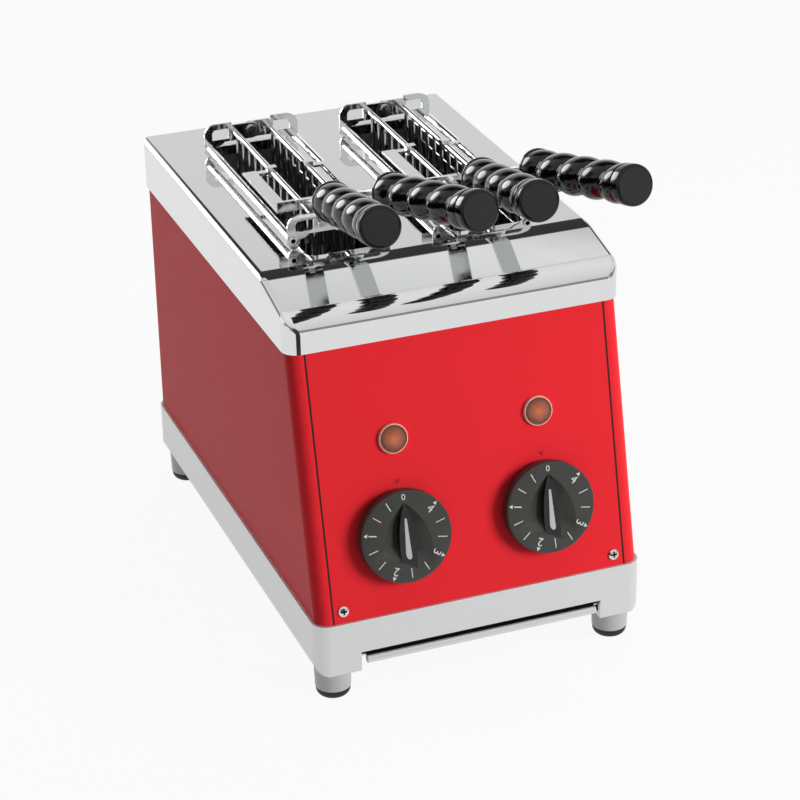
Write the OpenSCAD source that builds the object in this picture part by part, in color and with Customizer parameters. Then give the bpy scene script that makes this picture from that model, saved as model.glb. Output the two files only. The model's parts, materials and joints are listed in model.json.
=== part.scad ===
/* [Body] */
// Overall width of the body
body_w = 220; // [212:1:240]
// Depth of the body at the base
body_d = 345; // [340:1:370]
// Depth of the body at the lower edge of the top cover
top_d = 307; // [302:1:318]
// Height of the base rim above the table
base_top_z = 57; // [55:1:62]
// Height of the lower edge of the top cover
skirt_z = 225; // [218:1:229]
// Height of the flat top
top_z = 259; // [255:1:270]
// Thickness of the sheet metal
sheet = 1.5; // [1:0.1:1.6]
// Step from the base and cover in to the painted panels
panel_inset = 1.7; // [1.7:0.1:2.4]
// Corner radius of the body in plan
corner_r = 10; // [7:0.5:11]
// Distance of the front seams from the sides
seam_inset = 12; // [11.5:0.5:15]
// Width of the seam between two panels
seam_gap = 0.3; // [0.2:0.1:0.6]
// Height of the panels hidden behind the cover's skirt
panel_lap = 8; // [6:0.5:9]

/* [Base and feet] */
// Wall of the base frame
base_wall = 3; // [2.6:0.1:4]
// Height of the base's lower edge above the table
leg_z = 21.4; // [18:0.1:24]
// Radius of the rolled lower edge of the base's sides
base_roll = 8; // [6:0.5:10]
// Height of the front rail over the tray
front_rail_h = 22.5; // [20:0.5:24]
// Width of the corner legs
leg_w = 29; // [27:1:31]
// Width of the inner ledge that carries the floor plate
ledge_w = 6; // [4:0.5:8]
// Thickness of the inner ledge
ledge_h = 4; // [3:0.5:5]
// Depth of the ledge's seat below the rim
ledge_drop = 6; // [5:0.5:8]
// Distance of the feet from the sides
foot_inset_x = 15; // [14:0.5:16]
// Distance of the feet from the front and back
foot_inset_y = 16; // [14.5:0.5:20]
// Radius of the grey foot sleeves
foot_r = 11.9; // [11.2:0.1:12.5]
// Height of the rubber tips
tip_h = 6; // [5.5:0.25:8]
// Radius of the rubber tips
tip_r = 11; // [10:0.1:11.2]
// Edge rounding of the rubber tips
tip_round = 4.5; // [2:0.25:5.25]
// Radius of the bosses that take the foot screws
boss_r = 10.5; // [8:0.25:10.75]

/* [Crumb tray] */
// Inner depth of the crumb tray
tray_depth = 5.2; // [4.8:0.1:6]
// Thickness of the tray's sheet
tray_sheet = 1; // [0.8:0.1:1.2]
// Gap between the tray lip and the front rail
tray_drop = 3.3; // [2.8:0.1:4]
// Reach of the finger lip in front of the base
tray_lip = 2; // [1.5:0.25:6]
// Radius of the rolled finger lip
lip_r = 2.6; // [2.2:0.1:3]
// Width of the tray's hanging flanges
tray_flange = 7; // [6:0.5:9]
// Free space round the sliding tray
tray_clear = 0.6; // [0.4:0.1:1]
// Distance of the tray's rear end from the back
tray_back = 36; // [33:1:60]

/* [Top cover] */
// Depth of the sloped nose in front of the flat top
nose_d = 47; // [41:1:53]
// Angle of the front slope
slope_a = 13; // [10:0.5:15]
// Rounding between the flat top and the slope
brow_r = 60; // [30:5:90]
// Rounding between the slope and the front skirt
nose_r = 14; // [10:0.5:15]
// Rounding of the long top edges and the back edge
edge_r = 4; // [2.5:0.5:6]
// Distance between the two slots
slot_pitch = 96; // [93:1:98]
// Width of a slot
slot_w = 48; // [46:1:50]
// Distance of the slots from the cover's front
slot_front = 64; // [62:1:75]
// Distance of the slots from the back
slot_back = 40; // [39:1:48]
// Corner radius of a slot
slot_r = 6; // [4:0.5:8]
// Depth of the folded slot edges
slot_lip = 6; // [4:0.5:8]

/* [Controls] */
// Distance of the knobs and lamps from the sides
control_inset = 62; // [55:1:65]
// Distance of the knob centres down the panel from the cover
knob_drop = 123; // [115:1:128]
// Radius of the knob discs
knob_r = 29.5; // [28:0.5:33]
// Height of the knob discs
knob_h = 7.5; // [7:0.25:9]
// Gap between a knob and the panel
knob_gap = 1.6; // [1.5:0.1:2.2]
// Depth of the finger scoops beside the pointer
scoop_depth = 4; // [3:0.25:4.5]
// Half width of the two scoops at the pointer's tail
scoop_w = 16; // [14:0.25:17]
// Radius of the timer shafts
shaft_r = 3; // [2.5:0.1:3.2]
// Width of the timer cases
timer_w = 44; // [38:1:48]
// Depth of the timer cases
timer_d = 36; // [30:1:40]
// Distance of the lamps down the panel from the cover
lamp_drop = 62; // [55:1:70]
// Radius of the lamp bezels
lamp_r = 9.5; // [9.2:0.1:11]
// Radius of the lamp lenses
lens_r = 7.9; // [6:0.1:8.2]
// Radius of the screw shanks
screw_r = 2; // [1.6:0.1:2.3]
// Radius of the screw heads
screw_head_r = 3.3; // [3.2:0.1:4]
// Distance of the panel screws from the sides
screw_inset = 19; // [18.5:0.5:24]
// Distance of the panel screws up from the base
screw_rise = 7.5; // [6:0.5:9]

/* [Toasting chambers] */
// Gap between the slots and the two bulkheads
bulk_gap = 4; // [3.5:0.5:6]
// Heater tubes on each side of a slot
heater_rows = 3; // [2:1:3]
// Height of the lowest heater tubes
heater_z = 97; // [92:1:106]
// Spacing of the heater tubes
heater_step = 48; // [40:1:50]
// Radius of the heater tubes
heater_r = 4.5; // [3.5:0.1:5]
// Distance of the heater tubes from the slot's middle
heater_x = 34; // [33:0.5:35]
// Distance of the reflectors from the slot's middle
reflector_x = 41; // [40.5:0.25:42]
// Thickness of the reflectors
reflector_t = 1; // [0.8:0.1:1.2]
// Distance of the guard wires from the slot's middle
guard_x = 27; // [26.75:0.05:27.4]
// Radius of the guard wires
guard_r = 1.1; // [0.9:0.05:1.2]
// Upright wires in each guard
guard_count = 11; // [7:1:15]
// Outer radius of the cord gland
gland_r = 11; // [10:0.5:12]
// Radius of the cord gland's bore
cord_r = 4.25; // [3.5:0.05:5]
// Reach of the cord gland behind the body
gland_out = 4; // [3:0.5:6]
// Radius of the wiring sleeve
loom_r = 2.2; // [1.8:0.1:2.5]

/* [Tongs] */
// Distance of the tongs' rear brackets from the slot's back end
bracket_back = 15; // [12:1:18]
// Distance of the tongs' front brackets from the slot's front end
bracket_front = 12; // [9:1:17]
// Thickness of the bracket plates
plate_t = 1.6; // [1.2:0.1:2]
// Space between two overlapping bracket plates
plate_gap = 0.4; // [0.35:0.05:0.6]
// Height of the hinge pins above the top
hinge_h = 15; // [14.5:0.25:15.5]
// Radius of the hinge pins
pin_r = 2; // [1.6:0.1:2.2]
// Distance of the grids' top rods from the tong's middle
rod_x = 12.2; // [11.8:0.1:12.6]
// Height of the grids' top rods above the top
rod_h = 16; // [15.5:0.25:16.5]
// Radius of the grids' top rods
rod_r = 1.9; // [1.6:0.1:2]
// Depth of the grids below the top
grid_drop = 102; // [90:1:110]
// Radius of the grid wires
wire_r = 1.3; // [1:0.05:1.4]
// Upright wires in each grid
wire_count = 13; // [12:1:14]
// Distance of the side rails from the tong's middle
rail_x = 30; // [29:0.25:31]
// Height of the side rails above the top
rail_h = 6.5; // [5.5:0.25:7]
// Radius of the side rails
rail_r = 2.5; // [2.2:0.1:2.8]
// Height of the bracket ears above the top
ear_top = 22.5; // [21.5:0.25:24]
// Rest gap between the tong's feet and the top
rest_gap = 0.3; // [0.3:0.05:0.5]
// Width of the flat arms
arm_w = 9; // [7:0.5:9.5]
// Grid wires behind the arm's clip
clip_after = 5; // [4:1:6]
// Width of the stems that carry the grips
stem_w = 12; // [10:0.5:13]
// Thickness of the stems
stem_t = 2.5; // [2:0.1:3]
// Distance of the grip collars from the tong's middle
grip_x = 18.5; // [17.5:0.25:20]
// Reach of the grip collars in front of the front brackets
grip_reach = 43.5; // [39:0.5:49]
// Height of the grip collars above the top
grip_h = 47; // [45:1:52]
// Length of a grip
grip_len = 119; // [105:1:125]
// Radius of a grip
grip_r = 12.4; // [11.5:0.1:13]
// Upward angle of the grips
grip_rise = 14.3; // [11:0.1:18]
// Outward angle of the grips
grip_splay = 5.7; // [4:0.1:8]
// Turns of the grip's twist
grip_turns = 4; // [3:0.5:5]
// Radius of the spring's wire
spring_wire_r = 0.6; // [0.5:0.05:0.7]
// Curls of the tong spring
spring_curls = 5; // [4:1:6]

/* [Hidden] */
$fn = 48;
// Overlap that joins two touching shapes, and overshoot of a cutting shape
eps = 0.01;
over = 1;
// Clearance of a shaft in its running bore
run_fit = 0.05;
half_w = body_w / 2;
panel_x = half_w - panel_inset;
panel_r = corner_r - panel_inset;
seam_x = half_w - seam_inset;
lean = atan((body_d - top_d) / (skirt_z - base_top_z));
panel_len = (skirt_z - base_top_z) / cos(lean);
panel_top_z = skirt_z + panel_lap;
slot_x = slot_pitch / 2;
slot_end = top_d - slot_front;
slot_len = slot_end - slot_back;
flat_d = top_d - nose_d;
knob_x = half_w - control_inset;
screw_x = half_w - screw_inset;
ledge_z = base_top_z - ledge_drop;
floor_top_z = ledge_z + sheet;
foot_x = half_w - foot_inset_x;
foot_ds = [foot_inset_y, body_d - foot_inset_y];
notch_x = half_w - leg_w;
notch_z = base_top_z - front_rail_h;
lug_w = 12;
lug_t = 7;
lug_rise = 16;
hole_r = screw_r + run_fit;
screw_head_h = 1.8;
screw_len = 7;
cross_w = 0.7;
foot_screw_z = 2;
foot_screw_head_h = 2.5;
foot_screw_len = 30;
foot_taper = 0.5;

// Tray levels and widths
tray_top_z = notch_z - tray_drop;
tray_floor_z = tray_top_z - tray_sheet - tray_depth;
tray_x = notch_x - tray_clear;
tray_in_x = tray_x - tray_flange;
tray_front = body_d - 3;
lip_d = body_d + tray_lip - lip_r;
lip_side = 3;
runner_t = 1.2;
runner_z = tray_top_z - tray_sheet - run_fit;
runner_lap = 4;

// Chambers
bulk_back = slot_back - bulk_gap - sheet;
bulk_front = slot_end + bulk_gap;
bulk_x = panel_x - sheet - edge_r;
bulk_top_z = top_z - sheet;
chamber_d0 = bulk_back + sheet;
crumb_margin = 4;
guard_lo_z = floor_top_z + 18;
guard_hi_z = top_z - sheet - slot_lip - 4;
guard_rail_r = guard_r + 0.2;
cap_r = heater_r + 3;
cap_neck_r = heater_r + 1.4;
cap_len = 9;
cap_neck = 4;
reflector_flange = 6;
reflector_margin = 14;
gland_x = screw_x - 19;
gland_z = base_top_z + 26;
gland_in = 12;
gland_collar_r = 7.5;
gland_nut = 4;
block_gap = 1.5;
block_d = panel_inset + sheet + lug_t + block_gap;
block_poles = 3;
block_pole = [11, 16, 18];
block_hole_r = 2;
vent_count = 7;
vent_w = 62;
vent_h = 4;
vent_step = 11;
vent_z = base_top_z + 62;
cover_screw_x = 80;
cover_screw_z = skirt_z + panel_lap / 2;

// Controls
timer_screw_x = 15;
timer_head_gap = 0.4;
shaft_in = timer_d / 2;
shaft_hole = shaft_r + 2;
hub_wall = 2;
knob_rim = 1.2;
knob_face = knob_gap + knob_h;
pointer_tip = knob_r - 7.5;
pointer_tail = 8.5 - knob_r;
pointer_w = 5.3;
pointer_tip_w = 0.6;
scoop_r = knob_r + 10;
scoop_low = 10;
scoop_tip_gap = 1.5;
inlay_t = 0.8;
inlay_top = 12;
inlay_low = -14.5;
inlay_top_w = 0.7;
inlay_low_w = 1.9;
bezel_h = 2.2;
bezel_back = 10;
bezel_wall = 0.6;
lens_back = 5;
lens_crown = 1.2;
lens_lift = bezel_h - 0.4;
lamp_len = 20;
lamp_tab = [0.8, 3, 7];
lamp_tab_x = 3;

// Wiring sleeve: it runs on the floor between the two chambers to the controls
loom_gap = 0.3;
knot_r = 1.5 * loom_r;
loom_z = floor_top_z + knot_r + loom_gap;

// Tongs: heights are measured from the flat top
rear_d = slot_back + bracket_back;
front_d = slot_end - bracket_front;
grip_d = front_d + grip_reach;
layer_step = plate_t + plate_gap;
hub_r = 5.6;
ear_in = 14;
ear_out = rail_x + 3.2;
ear_round = 8;
ear_rim = 4;
win_in = ear_in + 2;
win_out = ear_out - ear_rim - 1.5;
win_lo = hinge_h - 3.5;
win_hi = ear_top - ear_rim;
win_round = 3;
web_lo = hinge_h - hub_r;
eyelet_wall = 2.6;
foot_tab = 4;
rail_wall = 1;
rail_end = 1.5;
rod_end = 2.5;
grid_d0 = rear_d + 11;
grid_d1 = front_d - 9;
wire_pitch = (grid_d1 - grid_d0) / (wire_count - 1);
grid_rail_r = wire_r + 0.25;
clip_d = grid_d0 + (clip_after + 0.5) * wire_pitch;
clip_w = 5;
clip_wall = 1.3;
arm_z = rod_h - 1.2;
arm_t = 1.5;
arm_x = rail_x - 3.5;
arm_out = arm_x + arm_w / 2;
cross_x = 6;
cross_t = 2;
cross_top = 22;
cross_d = grid_d0 + (wire_count - 2.3) * wire_pitch;
stem_foot = [cross_x + stem_w / 2, cross_d, cross_top - 1.5];
stem_sink = 2;
ferrule_len = 8;
collar_h = 3;
collar_r = grip_r + 0.4;
neck_h = 2.5;
neck_r = grip_r - 2;
end_h = 9;
end_bevel = 0.8;
grip_ecc = 1.5;
twist_slices = 8;
twist_sides = 16;
pin_head_r = 3.6;
pin_head_h = 1.2;
pin_head_gap = 0.3;
spring_pitch = 2 * spring_wire_r + 0.55;
spring_r = pin_r + spring_wire_r + 0.35;
spring_leg = rod_x - rod_r - 1.4;
spring_room = spring_curls * spring_pitch + 4 * spring_wire_r;

// Unit vector along a grip, for the half on the right
grip_dir = [sin(grip_splay) * cos(grip_rise), -cos(grip_splay) * cos(grip_rise), sin(grip_rise)];

// Reach of the part in front of and behind the body's back face
front_reach = grip_d - grip_len * grip_dir[1] + (grip_r - end_bevel) * sqrt(1 - pow(grip_dir[1], 2));
back_y = (front_reach - gland_out) / 2;

// Depth measured forward from the back face, turned into a y position
function fy(d) = back_y - d;

// Point at a distance across and down the front panel, and out of it
function panel_point(x, drop, out) =
    [x,
     fy(top_d - panel_inset) - drop * sin(lean) - out * cos(lean),
     skirt_z - drop * cos(lean) + out * sin(lean)];

sides = ["left", "right"];
halves = ["outer", "inner"];
pieces = ["frame", "grid", "arm", "grip"];
function side_sign(side) = side == "left" ? -1 : 1;
function half_sign(side, half) = side_sign(side) * (half == "outer" ? 1 : -1);
function tong_node(side, half, piece) = str(side, "_tong_", half, "_", piece);

red = "#c8202b";
light_grey = "#d2d3d2";
steel = "#c9cbcc";
zinc = "#a9adae";
black = "#1a1a1b";
dark_grey = "#3f403e";
ivory = "#e9e6da";

// Rectangle with round corners, centred on x, from y = 0 up to l
module rounded_rect(w, l, r) {
    translate([-w / 2 + r, 0]) square([w - 2 * r, l]);
    translate([-w / 2, r]) square([w, l - 2 * r]);
    for (x = [-w / 2 + r, w / 2 - r], y = [r, l - r]) translate([x, y]) circle(r);
}

// The body's outline in plan, drawn in by inset, down to depth d
module body_plan(d, inset) {
    translate([0, fy(d - inset)]) rounded_rect(body_w - 2 * inset, d - 2 * inset, max(corner_r - inset, 1));
}

// Straight prism of a plan drawn between two heights
module between(z0, z1) {
    translate([0, 0, z0]) linear_extrude(z1 - z0) children();
}

// Wide slab between two heights, for cutting
module slab(z0, z1) {
    translate([-body_w, -2 * body_d, z0]) cube([2 * body_w, 4 * body_d, z1 - z0]);
}

// Axes of the leaning front panel: x across, y into the body, z up the panel
module panel_axes() {
    translate([0, fy(top_d - panel_inset), skirt_z]) rotate([-lean, 0, 0]) children();
}

// A place on the front panel, with z pointing out of it and y up it
module on_panel(x, drop) {
    panel_axes() translate([x, 0, -drop]) rotate([90, 0, 0]) children();
}

// A place on the rear panel, with z pointing out of it
module on_rear(x, z) {
    translate([x, fy(panel_inset), z]) rotate([-90, 0, 0]) children();
}

// Hole along z through a sheet of thickness t whose outer face is z = 0
module through(r, t) {
    translate([0, 0, -t - over]) cylinder(r = r, h = t + 2 * over);
}

// Children once at each foot
module each_foot() {
    for (x = [-foot_x, foot_x], d = foot_ds) translate([x, fy(d), 0]) children();
}

// A bar along y between two depths, at x and z
module rod_y(x, z, d0, d1, r) {
    translate([x, fy(d0), z]) rotate([90, 0, 0]) cylinder(r = r, h = d1 - d0);
}

// Box between two x, two depths and two heights
module box(x0, x1, d0, d1, z0, z1) {
    translate([x0, fy(d1), z0]) cube([x1 - x0, d1 - d0, z1 - z0]);
}

// Pan head screw whose head sits on z = 0 and whose shank points down
module pan_screw() {
    translate([0, 0, -screw_len]) cylinder(r = screw_r, h = screw_len + eps);
    difference() {
        rotate_extrude() intersection() {
            translate([0, screw_head_h - 2 * screw_head_r]) circle(2 * screw_head_r);
            square([screw_head_r, screw_head_h]);
        }
        for (a = [0, 90]) rotate([0, 0, a])
            translate([-screw_head_r / 2, -cross_w / 2, screw_head_h / 2])
                cube([screw_head_r, cross_w, screw_head_h]);
    }
}

// Points of an arc with centre c and radius r, from angle a0 to a1 in n steps
function arc(c, r, a0, a1, n) =
    [for (i = [0:n]) let (a = a0 + (a1 - a0) * i / n) c + r * [cos(a), sin(a)]];

// Base and feet

module leg_corners() {
    for (x = [-half_w, half_w - leg_w], d = [0, body_d - leg_w])
        box(x, x + leg_w, d, d + leg_w, 0, base_top_z);
}

// Bar through the base from back to front, with rolled lower sides, drawn in by inset
module rolled_base(inset) {
    translate([0, fy(-over), leg_z + inset]) rotate([90, 0, 0]) linear_extrude(body_d + 2 * over)
        rounded_rect(body_w - 2 * inset, skirt_z, base_roll - inset);
}

// Lugs behind the front and rear panels that take the panel screws
module panel_lugs(clear) {
    w = lug_w + 2 * clear;
    t = lug_t + clear;
    z0 = ledge_z - ledge_h / 2;
    rear = panel_inset + sheet;
    for (x = [-screw_x, screw_x]) {
        intersection() {
            panel_axes() translate([x - w / 2, sheet, -panel_len - lug_rise]) cube([w, t, 2 * lug_rise]);
            slab(z0, skirt_z);
        }
        box(x - w / 2, x + w / 2, rear, rear + t, z0, base_top_z + lug_rise);
    }
}

// Places of the panel screws, with z pointing out of the body
module each_panel_screw() {
    for (x = [-screw_x, screw_x]) {
        on_panel(x, panel_len - screw_rise) children();
        on_rear(x, base_top_z + screw_rise) children();
    }
}

module base_frame() {
    foot_hole = foot_screw_z + foot_screw_len - leg_z + over;
    open_x = half_w - base_roll;
    color(light_grey) difference() {
        union() {
            difference() {
                intersection() {
                    between(0, base_top_z) body_plan(body_d, 0);
                    rolled_base(0);
                }
                intersection() {
                    between(0, skirt_z) body_plan(body_d, base_wall);
                    rolled_base(base_wall);
                }
                difference() {
                    box(-open_x, open_x, base_wall, body_d - base_wall, 0, leg_z + base_wall + over);
                    leg_corners();
                }
            }
            difference() {
                between(ledge_z - ledge_h, ledge_z) body_plan(body_d, eps);
                between(0, skirt_z) body_plan(body_d, base_wall + ledge_w);
            }
            intersection() {
                each_foot() translate([0, 0, leg_z]) cylinder(r = boss_r, h = ledge_z - leg_z);
                rolled_base(0);
            }
            panel_lugs(0);
        }
        box(-notch_x, notch_x, body_d - base_wall - over, body_d + over, 0, notch_z);
        each_foot() translate([0, 0, leg_z - over]) cylinder(r = hole_r, h = foot_hole + over);
        each_panel_screw() through(hole_r, screw_len);
    }
}

module foot_sleeves() {
    color(light_grey) each_foot() difference() {
        translate([0, 0, tip_h]) cylinder(r1 = foot_r - foot_taper, r2 = foot_r, h = leg_z - tip_h);
        translate([0, 0, leg_z]) through(hole_r, leg_z);
    }
}

module foot_tips() {
    color(black) each_foot() difference() {
        rotate_extrude() polygon(concat([[0, 0]],
            arc([tip_r - tip_round, tip_round], tip_round, -90, 0, 8),
            [[tip_r, tip_h], [0, tip_h]]));
        translate([0, 0, tip_h]) through(hole_r, tip_h);
        translate([0, 0, foot_screw_z + foot_screw_head_h]) rotate([180, 0, 0])
            cylinder(r = screw_head_r + seam_gap, h = foot_screw_z + foot_screw_head_h + over);
    }
}

module foot_screws() {
    color(zinc) each_foot() translate([0, 0, foot_screw_z]) {
        cylinder(r = screw_head_r, h = foot_screw_head_h);
        cylinder(r = screw_r, h = foot_screw_len);
    }
}

// Floor of the body, open under the slots so that crumbs fall into the tray
module floor_plate() {
    d0 = chamber_d0 + crumb_margin;
    d1 = bulk_front - crumb_margin;
    color(zinc) difference() {
        between(ledge_z, floor_top_z) body_plan(body_d, base_wall + seam_gap);
        for (x = [-slot_x, slot_x]) box(x - heater_x, x + heater_x, d0, d1, 0, base_top_z);
        panel_lugs(seam_gap);
    }
}

// Angles that hang from the floor plate and carry the tray by its flanges
module tray_runners() {
    d0 = foot_ds[0] + boss_r + over;
    d1 = foot_ds[1] - boss_r - over;
    out = tray_x + tray_clear + runner_t;
    color(zinc) for (s = [0, 1]) mirror([s, 0, 0]) {
        box(out - runner_t, out, d0, d1, runner_z - runner_t, ledge_z);
        box(tray_x - runner_lap, out, d0, d1, runner_z - runner_t, runner_z);
    }
}

module crumb_tray() {
    flange_z = tray_top_z - tray_sheet;
    wall_x = tray_in_x + tray_sheet;
    lip_x = tray_x - lip_side;
    color(light_grey) {
        difference() {
            box(-wall_x, wall_x, tray_back, tray_front, tray_floor_z, tray_top_z);
            box(-tray_in_x, tray_in_x, tray_back + tray_sheet, tray_front - tray_sheet,
                tray_floor_z + tray_sheet, base_top_z);
        }
        for (s = [0, 1]) mirror([s, 0, 0])
            box(tray_in_x, tray_x, tray_back, tray_front, flange_z, tray_top_z);
        box(-lip_x, lip_x, tray_front - tray_sheet, lip_d, flange_z, tray_top_z);
        translate([-lip_x, fy(lip_d), tray_top_z - lip_r]) rotate([0, 90, 0])
            cylinder(r = lip_r, h = 2 * lip_x);
    }
}

// Painted panels

// Depth of the front bend's inner tangent at height z
function bend_d(z) = top_d - panel_inset + (skirt_z - z) * tan(lean) - panel_r / cos(lean);

// Quarter of a bent sheet with its corner at +x, -y, and the flange behind it
module bend_quarter() {
    translate([panel_x - panel_r, panel_r]) intersection() {
        difference() {
            circle(panel_r);
            circle(panel_r - sheet);
        }
        translate([0, -panel_r - over]) square([panel_r + over, panel_r + over]);
    }
    translate([seam_x, 0]) square([panel_x - panel_r - seam_x, sheet]);
    translate([panel_x - sheet, panel_r]) square([sheet, over]);
}

module side_panel_right() {
    z0 = base_top_z;
    z1 = panel_top_z;
    d0 = panel_inset + panel_r;
    color(red) {
        translate([panel_x - sheet, 0, 0]) rotate([90, 0, 90]) linear_extrude(sheet)
            polygon([[fy(d0), z0], [fy(bend_d(z0)), z0], [fy(bend_d(z1)), z1], [fy(d0), z1]]);
        between(z0, z1) translate([0, fy(panel_inset)]) mirror([0, 1]) bend_quarter();
        intersection() {
            panel_axes() translate([0, 0, -panel_len - corner_r])
                linear_extrude(panel_len + corner_r + 2 * panel_lap) bend_quarter();
            slab(z0, z1);
        }
    }
}

module side_panel_left() {
    mirror([1, 0, 0]) side_panel_right();
}

module front_panel() {
    w = seam_x - seam_gap;
    color(red) difference() {
        intersection() {
            panel_axes() translate([-w, 0, -panel_len - corner_r])
                cube([2 * w, sheet, panel_len + corner_r + 2 * panel_lap]);
            slab(base_top_z, panel_top_z);
        }
        for (x = [-knob_x, knob_x]) {
            on_panel(x, knob_drop) through(shaft_hole, sheet);
            on_panel(x, lamp_drop) through(lens_r + bezel_wall + run_fit, sheet);
        }
        each_timer_screw() through(hole_r, sheet);
        each_panel_screw() through(hole_r, sheet);
    }
}

module rear_panel() {
    w = seam_x - seam_gap;
    color(red) difference() {
        box(-w, w, panel_inset, panel_inset + sheet, base_top_z, panel_top_z);
        for (s = [-1, 1], i = [0:vent_count - 1])
            on_rear(s * slot_x, vent_z + i * vent_step) translate([0, -vent_h / 2, -sheet - over])
                linear_extrude(sheet + 2 * over) rounded_rect(vent_w, vent_h, vent_h / 2 - eps);
        on_rear(gland_x, gland_z) through(gland_collar_r + run_fit, sheet);
        each_panel_screw() through(hole_r, sheet);
        each_cover_screw() through(hole_r, panel_inset + sheet);
    }
}

// Places of the screws through the cover's back skirt, on its outer face
module each_cover_screw() {
    for (x = [-cover_screw_x, cover_screw_x])
        on_rear(x, cover_screw_z) translate([0, 0, panel_inset]) children();
}

module front_screws() {
    color(zinc) for (x = [-screw_x, screw_x]) on_panel(x, panel_len - screw_rise) pan_screw();
}

module rear_screws() {
    color(zinc) for (x = [-screw_x, screw_x]) on_rear(x, base_top_z + screw_rise) pan_screw();
}

module cover_screws() {
    color(zinc) each_cover_screw() pan_screw();
}

// Top cover

// Side view of the cover drawn in by inset: x is the depth, y the height
nose_c = [top_d - nose_r, top_z - (nose_r + (top_d - nose_r - flat_d) * sin(slope_a)) / cos(slope_a)];
brow_c = [flat_d - brow_r * tan(slope_a / 2), top_z - brow_r];
function cover_low(inset) = inset > 0 ? skirt_z - over : skirt_z;
function cover_profile(inset) =
    concat([[inset, cover_low(inset)]],
        arc([edge_r, top_z - edge_r], edge_r - inset, 180, 90, 6),
        arc(brow_c, brow_r - inset, 90, 90 - slope_a, 6),
        arc(nose_c, nose_r - inset, 90 - slope_a, 0, 12),
        [[top_d - inset, cover_low(inset)]]);

// Front view of the cover: a rectangle whose two upper corners are round
module cover_front_view(w, h, r) {
    translate([-w / 2, 0]) square([w, h - r]);
    translate([-w / 2 + r, 0]) square([w - 2 * r, h]);
    for (x = [-w / 2 + r, w / 2 - r]) translate([x, h - r]) circle(r);
}

// Solid under the cover's skin, drawn in by inset
module cover_solid(inset) {
    low = cover_low(inset);
    intersection() {
        translate([half_w, fy(0), 0]) rotate([90, 0, -90])
            linear_extrude(body_w) polygon(cover_profile(inset));
        between(low, top_z) body_plan(top_d, inset);
        translate([0, fy(top_d + over), low]) rotate([90, 0, 180]) linear_extrude(top_d + 2 * over)
            cover_front_view(body_w - 2 * inset, top_z - inset - low, edge_r - inset);
    }
}

module slot_plan(grow) {
    for (x = [-slot_x, slot_x]) translate([x, fy(slot_back + slot_len + grow)])
        rounded_rect(slot_w + 2 * grow, slot_len + 2 * grow, slot_r + grow);
}

module top_cover() {
    color(steel) difference() {
        union() {
            difference() {
                cover_solid(0);
                cover_solid(sheet);
            }
            between(top_z - sheet - slot_lip, top_z - sheet / 2) slot_plan(sheet);
        }
        between(skirt_z, top_z + over) slot_plan(0);
        each_cover_screw() through(hole_r, sheet);
    }
}

// Toasting chambers

// Middle lines of the heater tubes beside the slot at x
module each_heater(x) {
    for (s = [-1, 1], i = [0:heater_rows - 1])
        translate([x + s * heater_x, 0, heater_z + i * heater_step]) children();
}

module bulkhead(d) {
    color(zinc) difference() {
        box(-bulk_x, bulk_x, d, d + sheet, floor_top_z, bulk_top_z);
        for (x = [-slot_x, slot_x]) each_heater(x)
            rod_y(0, 0, d - over, d + sheet + over, cap_neck_r + run_fit);
        rod_y(0, loom_z, d - over, d + sheet + over, loom_r + loom_gap);
    }
}

// Ceramic caps outside the bulkheads, with a neck that holds the tube's end
module heater_caps() {
    front = bulk_front + sheet;
    color("white") for (x = [-slot_x, slot_x]) each_heater(x) {
        difference() {
            union() {
                rod_y(0, 0, bulk_back - cap_len, bulk_back, cap_r);
                rod_y(0, 0, bulk_back - over, chamber_d0 + cap_neck, cap_neck_r);
            }
            rod_y(0, 0, bulk_back, chamber_d0 + cap_neck + over, heater_r + run_fit);
        }
        difference() {
            union() {
                rod_y(0, 0, front, front + cap_len, cap_r);
                rod_y(0, 0, bulk_front - cap_neck, front + over, cap_neck_r);
            }
            rod_y(0, 0, bulk_front - cap_neck - over, front, heater_r + run_fit);
        }
    }
}

module heater_tubes(x) {
    color("#e8dcd2") each_heater(x) rod_y(0, 0, bulk_back + run_fit, bulk_front + sheet - run_fit, heater_r);
}

// Bright plates behind the tubes, folded at the top and bottom
module reflectors(x) {
    z0 = heater_z - heater_r - reflector_margin;
    z1 = heater_z + (heater_rows - 1) * heater_step + heater_r + reflector_margin;
    out = reflector_x + reflector_t;
    color(steel) for (s = [0, 1]) translate([x, 0, 0]) mirror([s, 0, 0]) {
        box(reflector_x, out, chamber_d0, bulk_front, z0, z1);
        for (z = [z0, z1 - reflector_t])
            box(reflector_x - reflector_flange, out, chamber_d0, bulk_front, z, z + reflector_t);
    }
}

// Wire guards that keep the tongs off the heater tubes
module slot_guards(x) {
    pitch = (bulk_front - chamber_d0) / (guard_count + 1);
    color(steel) for (s = [-1, 1]) translate([x + s * guard_x, 0, 0]) {
        for (z = [guard_lo_z, guard_hi_z]) rod_y(0, z, chamber_d0, bulk_front, guard_rail_r);
        for (i = [1:guard_count])
            translate([0, fy(chamber_d0 + i * pitch), guard_lo_z])
                cylinder(r = guard_r, h = guard_hi_z - guard_lo_z);
    }
}

module terminal_block() {
    x0 = gland_x - block_poles * block_pole[0] / 2;
    d1 = block_d + block_pole[1];
    color(ivory) difference() {
        box(x0, x0 + block_poles * block_pole[0], block_d, d1, floor_top_z, floor_top_z + block_pole[2]);
        for (i = [0:block_poles - 1])
            rod_y(x0 + (i + 0.5) * block_pole[0], floor_top_z + block_pole[2] / 2, block_d - over, d1 + over,
                block_hole_r);
    }
}

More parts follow.
